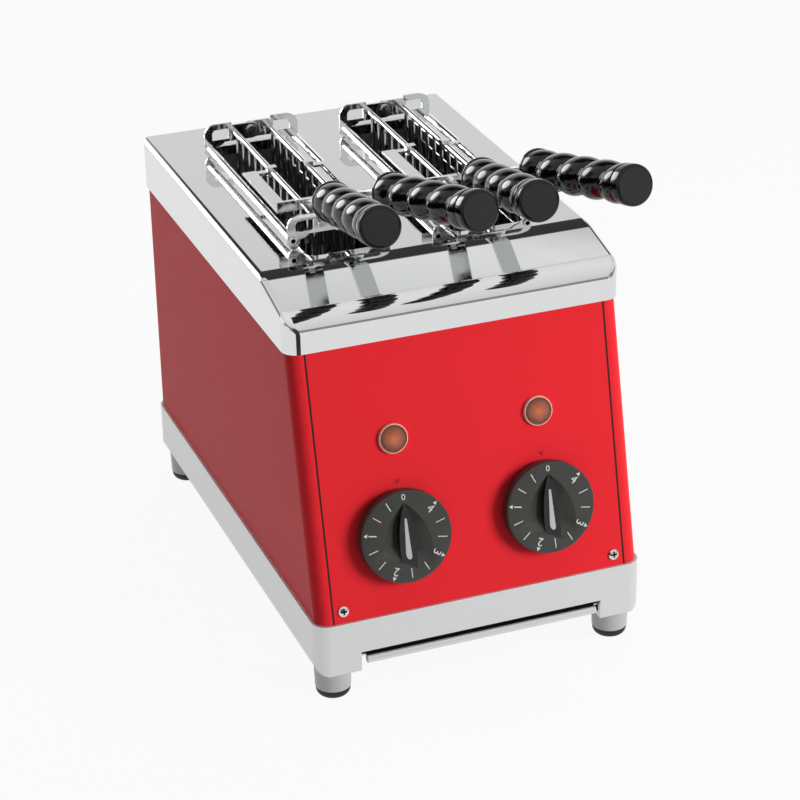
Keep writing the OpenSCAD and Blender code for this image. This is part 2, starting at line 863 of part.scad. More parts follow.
module cord_gland() {
    out = panel_inset + gland_out;
    color(black) on_rear(gland_x, gland_z) difference() {
        union() {
            cylinder(r = gland_r, h = out - over);
            cylinder(r = gland_r - over, h = out);
            translate([0, 0, -sheet - gland_in]) cylinder(r = gland_collar_r, h = sheet + gland_in + over);
            translate([0, 0, -sheet - gland_nut]) cylinder(r = gland_r, h = gland_nut);
        }
        translate([0, 0, out]) through(cord_r, sheet + gland_in + out);
    }
}

// Straight runs of sleeve through the points p, with a taped knot at each bend
module sleeve(p) {
    for (i = [0:len(p) - 2]) let (run = p[i + 1] - p[i])
        translate(p[i]) along(run) cylinder(r = loom_r, h = norm(run));
    for (i = [1:len(p) - 2]) translate(p[i]) sphere(knot_r);
}

// Points of the sleeve behind one knob, up to the lamp over it
function loom_branch(x, y, z, lamp) = [[x, y, z], [x, y, lamp[2]], [x, lamp[1] + loom_r, lamp[2]]];

// Sleeved wires from the terminal block to the timers and lamps
module wiring_loom() {
    timer_back = panel_point(knob_x, knob_drop, -sheet - timer_d - loom_gap);
    lamp_back = panel_point(knob_x, lamp_drop, -lens_back - lamp_len - lamp_tab[2] - loom_gap);
    back_run = fy(block_d + block_pole[1] / 2);
    front_run = (fy(bulk_front + sheet + cap_len) + timer_back[1]) / 2;
    block_top = floor_top_z + block_pole[2] + loom_r + loom_gap;
    fork = [0, front_run, timer_back[2]];
    color(dark_grey) {
        sleeve(concat([[gland_x, back_run, block_top], [0, back_run, block_top], [0, back_run, loom_z],
            [0, front_run, loom_z], fork], loom_branch(knob_x, front_run, timer_back[2], lamp_back)));
        sleeve(concat([fork], loom_branch(-knob_x, front_run, timer_back[2], lamp_back)));
        for (x = [-knob_x, knob_x])
            sleeve([[x, front_run, timer_back[2]], [x, timer_back[1] + loom_r, timer_back[2]]]);
    }
}

// Controls

module each_timer_screw() {
    for (x = [-knob_x, knob_x], o = [-timer_screw_x, timer_screw_x]) on_panel(x + o, knob_drop) children();
}

module timer(x) {
    color(zinc) difference() {
        on_panel(x, knob_drop) translate([-timer_w / 2, -timer_w / 2, -sheet - timer_d])
            cube([timer_w, timer_w, timer_d]);
        on_panel(x, knob_drop) through(shaft_r + run_fit, shaft_in);
        each_timer_screw() through(hole_r, screw_len);
    }
}

module timer_screws() {
    color(zinc) each_timer_screw() {
        cylinder(r = screw_head_r, h = knob_gap - timer_head_gap);
        translate([0, 0, -screw_len]) cylinder(r = screw_r, h = screw_len + eps);
    }
}

module timer_shaft(x) {
    color(steel) on_panel(x, knob_drop) translate([0, 0, -shaft_in])
        cylinder(r = shaft_r, h = shaft_in + knob_face - hub_wall - run_fit);
}

// Right edge of the pointer in the knob's face, a slim leaf that runs from a blunt tip to its tail
pointer_edge = [[pointer_tip_w, pointer_tip], [pointer_w * 0.4, pointer_tip * 0.72],
    [pointer_w * 0.72, pointer_tip * 0.36], [pointer_w * 0.95, 0], [pointer_w, pointer_tail * 0.5],
    [pointer_w * 0.85, pointer_tail]];

// Outer edge of a scoop: an arc from the pointer's tail up to its tip
scoop_c = [scoop_w - scoop_r, -scoop_low];
scoop_low_a = asin((pointer_tail - scoop_c[1]) / scoop_r);
scoop_high_a = asin((pointer_tip - scoop_c[1] - scoop_tip_gap) / scoop_r);
scoop_mid_a = (scoop_low_a + scoop_high_a) / 2;

// Room above one scoop: its floor falls from the outer edge toward the pointer
module scoop() {
    fall = atan(scoop_depth / (scoop_w - pointer_w));
    mid = scoop_c + scoop_r * [cos(scoop_mid_a), sin(scoop_mid_a)];
    intersection() {
        translate([0, 0, knob_gap]) linear_extrude(knob_h + over)
            polygon(concat(pointer_edge, arc(scoop_c, scoop_r, scoop_low_a, scoop_high_a, 12)));
        translate([mid[0], mid[1], knob_face]) rotate([0, 0, scoop_mid_a]) rotate([0, -fall, 0])
            translate([-2 * knob_r, -knob_r, 0]) cube([2 * knob_r, 2 * knob_r, knob_r]);
    }
}

function inlay(grow) =
    [[-inlay_top_w - grow, inlay_top + grow], [inlay_top_w + grow, inlay_top + grow],
     [inlay_low_w + grow, inlay_low - grow], [-inlay_low_w - grow, inlay_low - grow]];

module knob(x) {
    color(dark_grey) on_panel(x, knob_drop) difference() {
        rotate_extrude() polygon(concat([[0, knob_gap], [knob_r, knob_gap]],
            arc([knob_r - knob_rim, knob_face - knob_rim], knob_rim, 0, 90, 5), [[0, knob_face]]));
        translate([0, 0, knob_gap - over]) cylinder(r = shaft_r + run_fit, h = knob_h - hub_wall + over);
        for (s = [0, 1]) mirror([s, 0, 0]) scoop();
        translate([0, 0, knob_face - inlay_t]) linear_extrude(inlay_t + over) polygon(inlay(run_fit));
    }
}

module knob_inlay(x) {
    color("#b9bab8") on_panel(x, knob_drop) translate([0, 0, knob_face - inlay_t])
        linear_extrude(inlay_t) polygon(inlay(0));
}

module each_lamp() {
    for (x = [-knob_x, knob_x]) on_panel(x, lamp_drop) children();
}

module lamp_bezels() {
    color("#e3b7b0") each_lamp() difference() {
        union() {
            cylinder(r = lamp_r, h = bezel_h);
            translate([0, 0, -bezel_back]) cylinder(r = lens_r + bezel_wall, h = bezel_back + eps);
        }
        translate([0, 0, bezel_h]) through(lens_r + run_fit, bezel_back + bezel_h);
    }
}

module lamp_lens(x) {
    color("#d9722f") on_panel(x, lamp_drop) rotate_extrude()
        polygon(concat([[0, -lens_back], [lens_r, -lens_back]],
            arc([lens_r - lens_crown, lens_lift], lens_crown, 0, 90, 5), [[0, lens_lift + lens_crown]]));
}

module lamp_bodies() {
    back = -lens_back - lamp_len;
    color(ivory) each_lamp() {
        translate([0, 0, back]) cylinder(r = lens_r, h = lamp_len);
        for (o = [-lamp_tab_x, lamp_tab_x])
            translate([o - lamp_tab[0] / 2, -lamp_tab[1] / 2, back - lamp_tab[2]])
                cube(lamp_tab + [0, 0, eps]);
    }
}

// Tongs

// Axes of one tong: x from its middle, z from the flat top
module tong_axes(side) {
    translate([side_sign(side) * slot_x, 0, top_z]) children();
}

// Axes of one half, drawn for the half on the right and mirrored for the other
module half_axes(side, half) {
    tong_axes(side) mirror([half_sign(side, half) < 0 ? 1 : 0, 0, 0]) children();
}

// Turns z to the direction v, keeping x level
module along(v) {
    rotate([0, 0, atan2(v[1], v[0]) + 90]) rotate([atan2(norm([v[0], v[1]]), v[2]), 0, 0]) children();
}

// Side view of a bracket: hub at the hinge, web, and an arched ear with a window and a foot
module bracket_outline() {
    ear_mid = ear_out - ear_round;
    foot_z = rest_gap + foot_tab;
    difference() {
        union() {
            translate([0, hinge_h]) circle(hub_r);
            translate([0, web_lo]) square([ear_in + ear_round, 2 * hub_r]);
            translate([ear_in, web_lo]) square([ear_mid - ear_in, ear_top - web_lo]);
            translate([ear_mid, ear_top - ear_round]) circle(ear_round);
            translate([ear_mid, foot_z]) square([ear_round, ear_top - ear_round - foot_z]);
            translate([rod_x, rod_h]) circle(rod_r + eyelet_wall);
            translate([ear_out - foot_tab, foot_z]) circle(foot_tab);
        }
        translate([win_in, win_lo]) square([win_out - win_in - win_round, win_hi - win_lo]);
        translate([win_in, win_lo]) square([win_out - win_in, win_hi - win_lo - win_round]);
        translate([win_out - win_round, win_hi - win_round]) circle(win_round);
        translate([0, hinge_h]) circle(pin_r + run_fit);
        translate([rod_x, rod_h]) circle(rod_r + run_fit);
        translate([rail_x, rail_h]) circle(rail_r - rail_wall);
    }
}

// Depth of a bracket's back face: the two halves lie in neighbouring layers
function plate_d(front, layer) = front ? front_d - layer * layer_step : rear_d + layer * layer_step;

module tong_frame(side, half) {
    layer = half_sign(side, half) > 0 ? 0 : 1;
    d0 = plate_d(false, layer) - rail_end;
    d1 = plate_d(true, layer) + plate_t + rail_end;
    color(steel) half_axes(side, half) {
        for (front = [false, true]) translate([0, fy(plate_d(front, layer)), 0]) rotate([90, 0, 0])
            linear_extrude(plate_t) bracket_outline();
        difference() {
            rod_y(rail_x, rail_h, d0, d1, rail_r);
            rod_y(rail_x, rail_h, d0 - over, d1 + over, rail_r - rail_wall);
        }
    }
}

module tong_grid(side, half) {
    color(steel) half_axes(side, half) {
        rod_y(rod_x, rod_h, rear_d - rod_end, front_d + plate_t + rod_end, rod_r);
        for (z = [-grid_drop, -grid_drop / 2]) rod_y(rod_x, z, grid_d0, grid_d1, grid_rail_r);
        for (i = [0:wire_count - 1]) translate([rod_x, fy(grid_d0 + i * wire_pitch), -grid_drop])
            cylinder(r = wire_r, h = grid_drop + rod_h);
    }
}

// Clip on the grid's rod, flat arm beside it, cross strip and rising stem
module tong_arm(side, half) {
    collar = [grip_x, fy(grip_d), grip_h];
    root = [stem_foot[0], fy(stem_foot[1]), stem_foot[2]];
    run = collar - ferrule_len * grip_dir - root;
    clip_r = rod_r + clip_wall;
    d0 = clip_d - clip_w / 2;
    d1 = clip_d + clip_w / 2;
    color(steel) half_axes(side, half) difference() {
        union() {
            box(rod_x - clip_r, rod_x + clip_r, d0, d1, rod_h - clip_r, rod_h + clip_r);
            box(rod_x, arm_out, d0, d1, arm_z, arm_z + arm_t);
            box(arm_out - arm_w, arm_out, d0 - over, cross_d, arm_z, arm_z + arm_t);
            box(cross_x, arm_out, cross_d - cross_t, cross_d, arm_z, cross_top);
            translate(root) along(run) translate([-stem_w / 2, -stem_t / 2, -stem_sink])
                cube([stem_w, stem_t, norm(run) + 2 * stem_sink]);
            translate(collar) along(grip_dir) translate([0, 0, -ferrule_len])
                cylinder(r1 = stem_w / 2 - over, r2 = stem_w / 2 + eps, h = ferrule_len);
        }
        rod_y(rod_x, rod_h, rear_d, front_d, rod_r + run_fit);
    }
}

// Collar, neck, twisted body and flat end of a grip; all grips twist the same way
module tong_grip(side, half) {
    body_z = collar_h + neck_h;
    body_len = grip_len - body_z - end_h;
    twist = half_sign(side, half) * 360 * grip_turns;
    slices = twist_slices * grip_turns;
    color(black) half_axes(side, half) translate([grip_x, fy(grip_d), grip_h]) along(grip_dir) {
        cylinder(r = collar_r, h = collar_h);
        cylinder(r = neck_r, h = body_z + over);
        translate([0, 0, body_z])
            linear_extrude(body_len + eps, twist = twist, slices = slices, $fn = twist_sides)
                translate([grip_ecc, 0]) circle(grip_r - grip_ecc);
        translate([0, 0, grip_len - end_h]) cylinder(r = grip_r, h = end_h - end_bevel);
        translate([0, 0, grip_len - end_bevel]) cylinder(r1 = grip_r, r2 = grip_r - end_bevel, h = end_bevel);
    }
}

// Pin through two bracket hubs, with a head at each end
module hinge_pin(d0, d1) {
    a = d0 - pin_head_gap;
    b = d1 + pin_head_gap;
    rod_y(0, hinge_h, a, b, pin_r);
    rod_y(0, hinge_h, a - pin_head_h, a, pin_head_r);
    rod_y(0, hinge_h, b, b + pin_head_h, pin_head_r);
}

// The front pin is longer, because it carries the spring
module tong_pins(side) {
    color(zinc) tong_axes(side) {
        hinge_pin(rear_d, rear_d + layer_step + plate_t);
        hinge_pin(front_d - layer_step - spring_room, front_d + plate_t);
    }
}

// Middle line of the torsion spring: a straight leg, the curls and a second leg
curl_rings = 8;
spring_steps = curl_rings * spring_curls;
function spring_point(i) =
    let (a = 90 + 360 * i / curl_rings)
    [spring_r * cos(a), spring_r * sin(a), spring_pitch * i / curl_rings];
spring_path = concat([[spring_leg, spring_r, 0]], [for (i = [0:spring_steps]) spring_point(i)],
    [[-spring_leg, spring_r, spring_pitch * spring_curls]]);

// Least distance between the wire's surfaces on neighbouring curls
spring_gap = min([for (i = [0:spring_steps], j = [0:spring_steps]) if (j - i > curl_rings / 2)
    norm(spring_point(i) - spring_point(j))]) - 2 * spring_wire_r;
echo(spring_gap = spring_gap);

// Ring of points round the path at point i
tube_sides = 6;
function path_dir(p, i) =
    let (a = p[max(i - 1, 0)], b = p[min(i + 1, len(p) - 1)]) (b - a) / norm(b - a);
function ring(p, i, r) =
    let (t = path_dir(p, i), u = cross([0, 0, 1], t) / norm(cross([0, 0, 1], t)), v = cross(t, u))
    [for (k = [0:tube_sides - 1])
        let (a = 360 * k / tube_sides) p[i] + r * (cos(a) * u + sin(a) * v)];

// Tube swept along the points p
module tube(p, r) {
    n = len(p);
    m = tube_sides;
    function at(i, k) = m * i + k % m;
    points = [for (i = [0:n - 1]) each ring(p, i, r)];
    walls = [for (i = [0:n - 2], k = [0:m - 1]) each
        [[at(i, k), at(i, k + 1), at(i + 1, k)], [at(i, k + 1), at(i + 1, k + 1), at(i + 1, k)]]];
    ends = [for (k = [1:m - 2]) each
        [[0, at(0, k + 1), at(0, k)], [at(n - 1, 0), at(n - 1, k), at(n - 1, k + 1)]]];
    polyhedron(points, concat(walls, ends));
}

module tong_spring(side) {
    d = front_d - layer_step - spring_room + 2 * spring_wire_r;
    color(zinc) tong_axes(side) translate([0, fy(d), hinge_h]) rotate([90, 0, 0])
        tube(spring_path, spring_wire_r);
}

base_frame();
floor_plate();
tray_runners();
crumb_tray();
foot_sleeves();
foot_tips();
foot_screws();
side_panel_left();
side_panel_right();
front_panel();
rear_panel();
top_cover();
front_screws();
rear_screws();
cover_screws();
bulkhead(bulk_front);  // bulkhead_front
bulkhead(bulk_back);  // bulkhead_rear
heater_caps();
terminal_block();
cord_gland();
wiring_loom();
timer_screws();
lamp_bezels();
lamp_bodies();
for (s = sides) {
    lamp_lens(side_sign(s) * knob_x);
    timer(side_sign(s) * knob_x);
    timer_shaft(side_sign(s) * knob_x);
    knob(side_sign(s) * knob_x);
    knob_inlay(side_sign(s) * knob_x);
    heater_tubes(side_sign(s) * slot_x);
    reflectors(side_sign(s) * slot_x);
    slot_guards(side_sign(s) * slot_x);
    tong_pins(s);
    tong_spring(s);
    for (h = halves) {
        tong_frame(s, h);
        tong_grid(s, h);
        tong_arm(s, h);
        tong_grip(s, h);
    }
}
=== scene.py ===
# %% [markdown]
# A countertop toaster with lift-out tongs, dressed for a studio photograph.
# The solids come in ready made and at their real size. This lesson gives each of them the finish of the real
# thing, and swaps the ones that need rounder or richer shapes for meshes that ride on the same bodies.

# %% Load the solids
import json
import math
import bmesh
import bpy
from mathutils import Matrix, Vector

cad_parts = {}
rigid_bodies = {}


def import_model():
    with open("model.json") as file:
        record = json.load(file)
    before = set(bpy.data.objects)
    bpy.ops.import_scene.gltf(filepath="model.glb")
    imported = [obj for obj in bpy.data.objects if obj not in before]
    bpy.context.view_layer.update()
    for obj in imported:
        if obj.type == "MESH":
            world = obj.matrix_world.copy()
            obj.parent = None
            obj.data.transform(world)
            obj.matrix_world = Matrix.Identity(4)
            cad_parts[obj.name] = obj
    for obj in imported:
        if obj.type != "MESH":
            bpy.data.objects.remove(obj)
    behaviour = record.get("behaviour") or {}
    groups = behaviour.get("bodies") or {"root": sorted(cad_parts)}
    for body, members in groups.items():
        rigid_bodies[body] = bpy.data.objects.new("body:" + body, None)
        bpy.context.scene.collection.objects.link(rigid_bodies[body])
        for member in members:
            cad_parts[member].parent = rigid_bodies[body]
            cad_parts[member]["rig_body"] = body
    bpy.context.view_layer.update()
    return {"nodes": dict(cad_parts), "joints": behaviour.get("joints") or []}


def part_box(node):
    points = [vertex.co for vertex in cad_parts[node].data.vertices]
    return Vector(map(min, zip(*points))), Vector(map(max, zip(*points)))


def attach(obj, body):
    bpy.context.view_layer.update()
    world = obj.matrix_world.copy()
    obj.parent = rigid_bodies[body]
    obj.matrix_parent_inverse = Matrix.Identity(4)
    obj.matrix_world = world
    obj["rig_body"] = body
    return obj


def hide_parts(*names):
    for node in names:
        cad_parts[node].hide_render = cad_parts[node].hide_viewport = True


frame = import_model()
nodes = frame["nodes"]
joints = {joint["name"]: joint for joint in frame["joints"]}
scene = bpy.context.scene
MM = 0.001
SIDES = {"left": -1, "right": 1}
HALVES = {"outer": 1, "inner": -1}


# %% [markdown]
# Colours are written the way a paint card gives them, as sRGB hex values. Shaders work in linear light,
# so one function turns the first into the second. A second small function adds a node to any tree, sets
# its options and fills its inputs, each with a value or with a link. A kind in capitals is short for a sum
# on a Math node. A third function puts new data into the scene as an object.

# %% Three small helpers
WHITE = (1, 1, 1, 1)


def linear(code):
    values = [int(code[i:i + 2], 16) / 255 for i in (1, 3, 5)]
    return [v / 12.92 if v <= 0.04045 else ((v + 0.055) / 1.055) ** 2.4 for v in values] + [1.0]


def add(tree, kind, inputs=(), **options):
    if kind.isupper():
        kind, options = "ShaderNodeMath", {"operation": kind}
    node = tree.nodes.new(kind)
    for name, value in options.items():
        setattr(node, name, value)
    for key, value in inputs.items() if isinstance(inputs, dict) else enumerate(inputs):
        if isinstance(value, bpy.types.Node):
            value = value.outputs[0]
        if isinstance(value, bpy.types.NodeSocket):
            tree.links.new(value, node.inputs[key])
        else:
            node.inputs[key].default_value = value
    return node


def linked(name, data):
    thing = bpy.data.objects.new(name, data)
    scene.collection.objects.link(thing)
    return thing


print("mid grey in linear light:", round(linear("#808080")[0], 3))

# %% [markdown]
# The camera stands where the photographer stood: to the left of the front and about one and three quarter
# metres away, looking down at the controls. A constraint could aim it, but plain angles can be read and
# compared. A long lens keeps the body's edges nearly parallel. The picture is square, so a focal length
# given in picture widths turns straight into millimetres of lens.

# %% Camera
CAMERA_PLACE = (-0.5506, -1.4931, 0.9142)
CAMERA_TURN = math.radians(20.37)
CAMERA_PITCH = math.radians(26.41)
CAMERA_ROLL = math.radians(-1.23)
FOCAL_WIDTHS = 3.3656
SENSOR = 36.0

ahead = Vector((math.sin(CAMERA_TURN) * math.cos(CAMERA_PITCH),
                math.cos(CAMERA_TURN) * math.cos(CAMERA_PITCH), -math.sin(CAMERA_PITCH)))
level = Vector((math.cos(CAMERA_TURN), -math.sin(CAMERA_TURN), 0))
upward = level.cross(ahead)
across = level * math.cos(CAMERA_ROLL) + upward * math.sin(CAMERA_ROLL)
upward = across.cross(ahead)
camera = linked("camera", bpy.data.cameras.new("camera"))
camera.matrix_world = (Matrix.Translation(CAMERA_PLACE)
                       @ Matrix((across, upward, -ahead)).transposed().to_4x4())
camera.data.sensor_width = SENSOR
camera.data.lens = FOCAL_WIDTHS * SENSOR
bpy.context.scene.camera = camera
print("lens:", round(camera.data.lens, 1), "mm")

# %% [markdown]
# Polished steel shows the room more than itself, so the room matters. Big lit boards could stand around
# the part, but ramps of grey over the height of the look are easier to tune. There is a pale wall on
# every side and pale cloth overhead. Behind the part the wall ends in a dark gap at about twenty-five
# degrees, which the cover's brow mirrors as a black band. The bearing of the look chooses between the
# walls.

# %% Walls of the room
scene.view_settings.view_transform = "Standard"
WALL_BEFORE = [(0.0, 0.3), (0.10, 0.3), (0.16, 0.8), (1.0, 1.0)]
WALL_ASIDE = [(0.0, 1.15), (0.3, 0.86), (0.7, 0.8), (1.0, 1.0)]
WALL_BEHIND = [(0.0, 1.25), (0.24, 1.2), (0.33, 0.84), (0.405, 0.8), (0.43, 0.05), (0.69, 0.04), (0.725, 1.0),
               (0.76, 0.76), (1.0, 1.0)]
GAP_SPAN = (math.radians(15), math.radians(34))
SHADE_SPAN = (math.radians(-30), math.radians(26))
BLUR = 0.06

world = bpy.data.worlds.new("studio")
scene.world = world
world.use_nodes = True
tree = world.node_tree
tree.nodes.clear()
looking = add(tree, "ShaderNodeTexCoord").outputs["Generated"]
direction = add(tree, "ShaderNodeSeparateXYZ", [looking]).outputs
walls = []
for stops in (WALL_BEFORE, WALL_ASIDE, WALL_BEHIND):
    ramp = add(tree, "ShaderNodeValToRGB", [direction["Z"]])
    for _ in stops[2:]:
        ramp.color_ramp.elements.new(1.0)
    for element, (place, value) in zip(ramp.color_ramp.elements, stops):
        element.position = place
        element.color = (value, value, value, 1)
    walls.append(ramp.outputs[0])
bearing = add(tree, "ARCTAN2", [direction["X"], direction["Y"]])
near_gap, near_shade = [
    add(tree, "ShaderNodeMapRange", [
        add(tree, "ABSOLUTE", [add(tree, "SUBTRACT", [bearing, aim])]),
        half - BLUR, half + BLUR, 1.0, 0.0])
    for aim, half in (GAP_SPAN, SHADE_SPAN)]
backdrop = add(tree, "ShaderNodeMix", {0: near_gap, 6: walls[1], 7: walls[2]}, data_type="RGBA").outputs[2]
behind = add(tree, "ShaderNodeMapRange", [direction["Y"], -0.15, 0.1])
bands = add(tree, "ShaderNodeMix", {0: behind, 6: walls[0], 7: backdrop}, data_type="RGBA").outputs[2]
print("walls:", len(walls))

# %% [markdown]
# A little to the left of the gap the wall is in shade, and a small bright softbox stands before it. It
# puts the white glints on the black grips and a bright line along every round wire. All of that is seen
# only in reflections: the camera itself sees white, and dull surfaces get an even, weaker light.

# %% Shade and softbox
ROOM_LIGHT = 0.135
SHADE_HIGH, SHADE_SOFT, SHADE = 0.34, 0.04, 0.25
SOFTBOX_AIM, SOFTBOX_POWER = Vector((-0.39, 0.91, 0.14)).normalized(), 8.5
SOFTBOX_EDGE = [math.cos(math.radians(angle)) for angle in (14, 10)]

toward = add(tree, "ShaderNodeVectorMath", [looking, SOFTBOX_AIM], operation="DOT_PRODUCT").outputs["Value"]
softbox = add(tree, "ShaderNodeMapRange", [toward, *SOFTBOX_EDGE, 0.0, SOFTBOX_POWER])
low_down = add(tree, "ShaderNodeMapRange", [direction["Z"], SHADE_HIGH - SHADE_SOFT, SHADE_HIGH + SHADE_SOFT,
                                            SHADE - 1.0, 0.0])
shade = add(tree, "MULTIPLY_ADD", [near_shade, low_down, 1.0])
shaded = add(tree, "ShaderNodeVectorMath", [bands, shade], operation="MULTIPLY")
lit = add(tree, "ShaderNodeVectorMath", [shaded, softbox], operation="ADD")
soft = add(tree, "ShaderNodeBackground", [WHITE, ROOM_LIGHT])
seen = add(tree, "ShaderNodeBackground", [WHITE, 1.0])
mirrored = add(tree, "ShaderNodeBackground", [lit, 1.0])
path = add(tree, "ShaderNodeLightPath").outputs
sharp = add(tree, "MAXIMUM", [path["Is Glossy Ray"], path["Is Transmission Ray"]])
room = add(tree, "ShaderNodeMixShader", [sharp, soft, mirrored])
room = add(tree, "ShaderNodeMixShader", [path["Is Camera Ray"], room, seen])
add(tree, "ShaderNodeOutputWorld", [room])
print("softbox:", [round(c, 2) for c in SOFTBOX_AIM])


# %% [markdown]
# The part stands on a white paper sweep. More light would make the paper white and burn out the part, so
# the paper glows a little instead, for the camera and for reflections only, and keeps a soft shadow. A
# black card in front draws the dark line at the cover's corner, as a photographer's flag does. It shows
# in reflections and nowhere else.

# %% Floor and card
FLOOR_HALF, FLOOR_LIFT = 4.0, 0.93
CARD_X, CARD_Y, CARD_Z = (-0.24, 0.0), -0.55, (0.002, 0.3)
CORNERS = ((0, 0), (1, 0), (1, 1), (0, 1))


def staged(name, corners, material):
    mesh = bpy.data.meshes.new(name)
    mesh.from_pydata(corners, [], [(0, 1, 2, 3)])
    mesh.materials.append(material)
    board = linked(name, mesh)
    return board


paper, black = [bpy.data.materials.new(name) for name in ("white_paper_sweep", "black_card")]
for material in (paper, black):
    material.use_nodes = True
tree = paper.node_tree
tree.nodes.clear()
path = add(tree, "ShaderNodeLightPath").outputs
sharp = add(tree, "MAXIMUM", [path["Is Glossy Ray"], path["Is Transmission Ray"]])
shown = add(tree, "MAXIMUM", [path["Is Camera Ray"], sharp])
lift = add(tree, "MULTIPLY", [shown, FLOOR_LIFT])
matte = add(tree, "ShaderNodeBsdfDiffuse", [linear("#d4d4d4")])
glow = add(tree, "ShaderNodeEmission", [WHITE, 1.0])
add(tree, "ShaderNodeOutputMaterial", [add(tree, "ShaderNodeMixShader", [lift, matte, glow])])
black.node_tree.nodes["Principled BSDF"].inputs["Base Color"].default_value = linear("#050505")

staged("floor", [((2 * i - 1) * FLOOR_HALF, (2 * k - 1) * FLOOR_HALF, 0) for i, k in CORNERS], paper)
card = staged("black_card", [(CARD_X[i], CARD_Y, CARD_Z[k]) for i, k in CORNERS], black)
card.visible_camera = card.visible_diffuse = card.visible_shadow = False
print("floor:", 2 * FLOOR_HALF, "m wide")

# %% [markdown]
# Three soft lamps light the colours: a key from the right of the front, a broad one overhead and a weak
# window at the left. Bare lamps would show as white squares in the steel, so reflections don't see them.

# %% Lamps
LAMPS = {
    "key": ((1.5, -1.6, 0.75), 1.0, 47.0),
    "top": ((0.3, 0.1, 1.8), 1.4, 14.0),
    "window": ((-1.05, 0.7, 1.25), 0.5, 2.5),
}
AIM = Vector((0, 0, 0.15))
for name, (place, width, power) in LAMPS.items():
    lamp = linked(name, bpy.data.lights.new(name, "AREA"))
    lamp.data.size = width
    lamp.data.energy = power
    lamp.location = place
    lamp.rotation_euler = (AIM - Vector(place)).to_track_quat("-Z", "Y").to_euler()
    lamp.visible_glossy = False
print("lamps:", list(LAMPS))


# %% [markdown]
# Most finishes here are one of a few kinds of surface: a colour, how metallic it is, how rough, and a
# fine grain that breaks both up. Each could have a tree of its own, but one function keeps them alike. It
# takes the grain's real size in millimetres. The grain moves the colour a little, the roughness a little
# more, and the height by some hundredths of a millimetre.

# %% The finish of every plain surface
def finish(name, colour, rough, metal=0.0, grain=1.0, mottle=0.06, spread=0.06, height=0.004,
           stretch=(1, 1, 1), **sockets):
    material = bpy.data.materials.new(name)
    material.use_nodes = True
    tree = material.node_tree
    shader = tree.nodes["Principled BSDF"]
    place = add(tree, "ShaderNodeTexCoord").outputs["Object"]
    place = add(tree, "ShaderNodeMapping", {"Vector": place, "Scale": stretch})
    value = add(tree, "ShaderNodeTexNoise", {"Vector": place, "Scale": 1 / (grain * MM), "Detail": 3.0})
    base = linear(colour)[:3]
    dark, light = [[min(c * share, 1) for c in base] + [1] for share in (1 - mottle, 1 + mottle)]
    shade = add(tree, "ShaderNodeMix", {0: value, 6: dark, 7: light}, data_type="RGBA")
    tree.links.new(shade.outputs[2], shader.inputs["Base Color"])
    gloss = add(tree, "ShaderNodeMapRange", [value, 0.3, 0.7, max(rough - spread, 0.02), rough + spread])
    tree.links.new(gloss.outputs[0], shader.inputs["Roughness"])
    if height:
        bump = add(tree, "ShaderNodeBump", {"Height": value, "Distance": height * MM, "Strength": 0.6})
        tree.links.new(bump.outputs[0], shader.inputs["Normal"])
    shader.inputs["Metallic"].default_value = metal
    for key, setting in sockets.items():
        shader.inputs[key.replace("_", " ")].default_value = setting
    return material


print("finish ready")

# %% [markdown]
# The outside is enamelled, polished or plated. Enamel is a smooth film whose colour hardly varies.
# Polished and drawn steel has almost no colour of its own, so the room does the work there. Plating and
# the painted shade of the tray's pan are patchy, which takes a coarser grain and more mottle.

# %% Enamel and metal
# Satin red enamel on sheet steel: even colour, a soft sheen, the faint ripple of sprayed paint.
red_enamel = finish("satin_red_enamel", "#e02a32", 0.42, grain=1.6, mottle=0.03, height=0.006,
                    Specular_IOR_Level=0.07)
# Mirror polished stainless: almost no colour of its own, and a trace of polishing haze.
polished = finish("mirror_polished_stainless", "#dcdddd", 0.05, metal=1.0, grain=14, mottle=0.02, spread=0.02,
                  height=0)
# Light grey satin enamel of the base, with metal flake: pale, with blurred reflections and a fine grain.
satin_grey = finish("light_grey_satin_enamel", "#d8d9d9", 0.42, metal=0.7, grain=0.7, mottle=0.03)
# Painted shade for the tray's pan and runners, black where the gap above the lip is in shade: dull, with
# brown-black patches.
pan_painted_shade = finish("painted_shade_black_steel", "#1c1b1a", 0.55, metal=0.3, grain=5, mottle=0.3, height=0.01)
# Bright drawn wire and pressed plate of the tongs: a little duller than the cover.
bright_plate = finish("bright_stainless_plate", "#dedfe0", 0.1, metal=1.0, grain=4, mottle=0.05, height=0.002)
bright_wire = finish("bright_drawn_wire", "#d6d7d8", 0.12, metal=1.0, grain=2.5, mottle=0.08, height=0.002)
# Zinc plated screws and springs: greyer, with the patchy bloom of plating.
zinc = finish("zinc_plated_steel", "#b4b6b6", 0.3, metal=1.0, grain=1.2, mottle=0.12)
# Fresh zinc plate on pins: bright and slightly warm.
bright_zinc = finish("bright_zinc_plate", "#dcdad4", 0.16, metal=1.0, grain=1.5, mottle=0.05, height=0.002)
# Galvanised sheet inside the body: dull and spangled.
galvanised = finish("galvanised_sheet", "#8d9092", 0.5, metal=0.9, grain=9, mottle=0.15)
# Reflector sheet browned by heat: a warm, cloudy shine.
reflector = finish("heat_tinted_reflector", "#5f5b55", 0.42, metal=1.0, grain=22, mottle=0.2, height=0)
print("enamel and metal: from", red_enamel.name, "to", reflector.name)

# %% [markdown]
# The handles, knobs and feet are resin, plastic and rubber. They differ mostly in gloss: a turned and
# polished grip has sharp highlights, a moulding shows the texture of its mould, and rubber hardly shines.
# Inside the body are ceramic, quartz and woven glass, which show only through the slots and vents.

# %% Plastic, rubber and ceramic
# Black phenolic resin of the grips, polished: deep black with small sharp glints.
phenolic = finish("black_phenolic_resin", "#070708", 0.13, grain=6, mottle=0.2, spread=0.04, height=0.003,
                  Specular_IOR_Level=0.32)
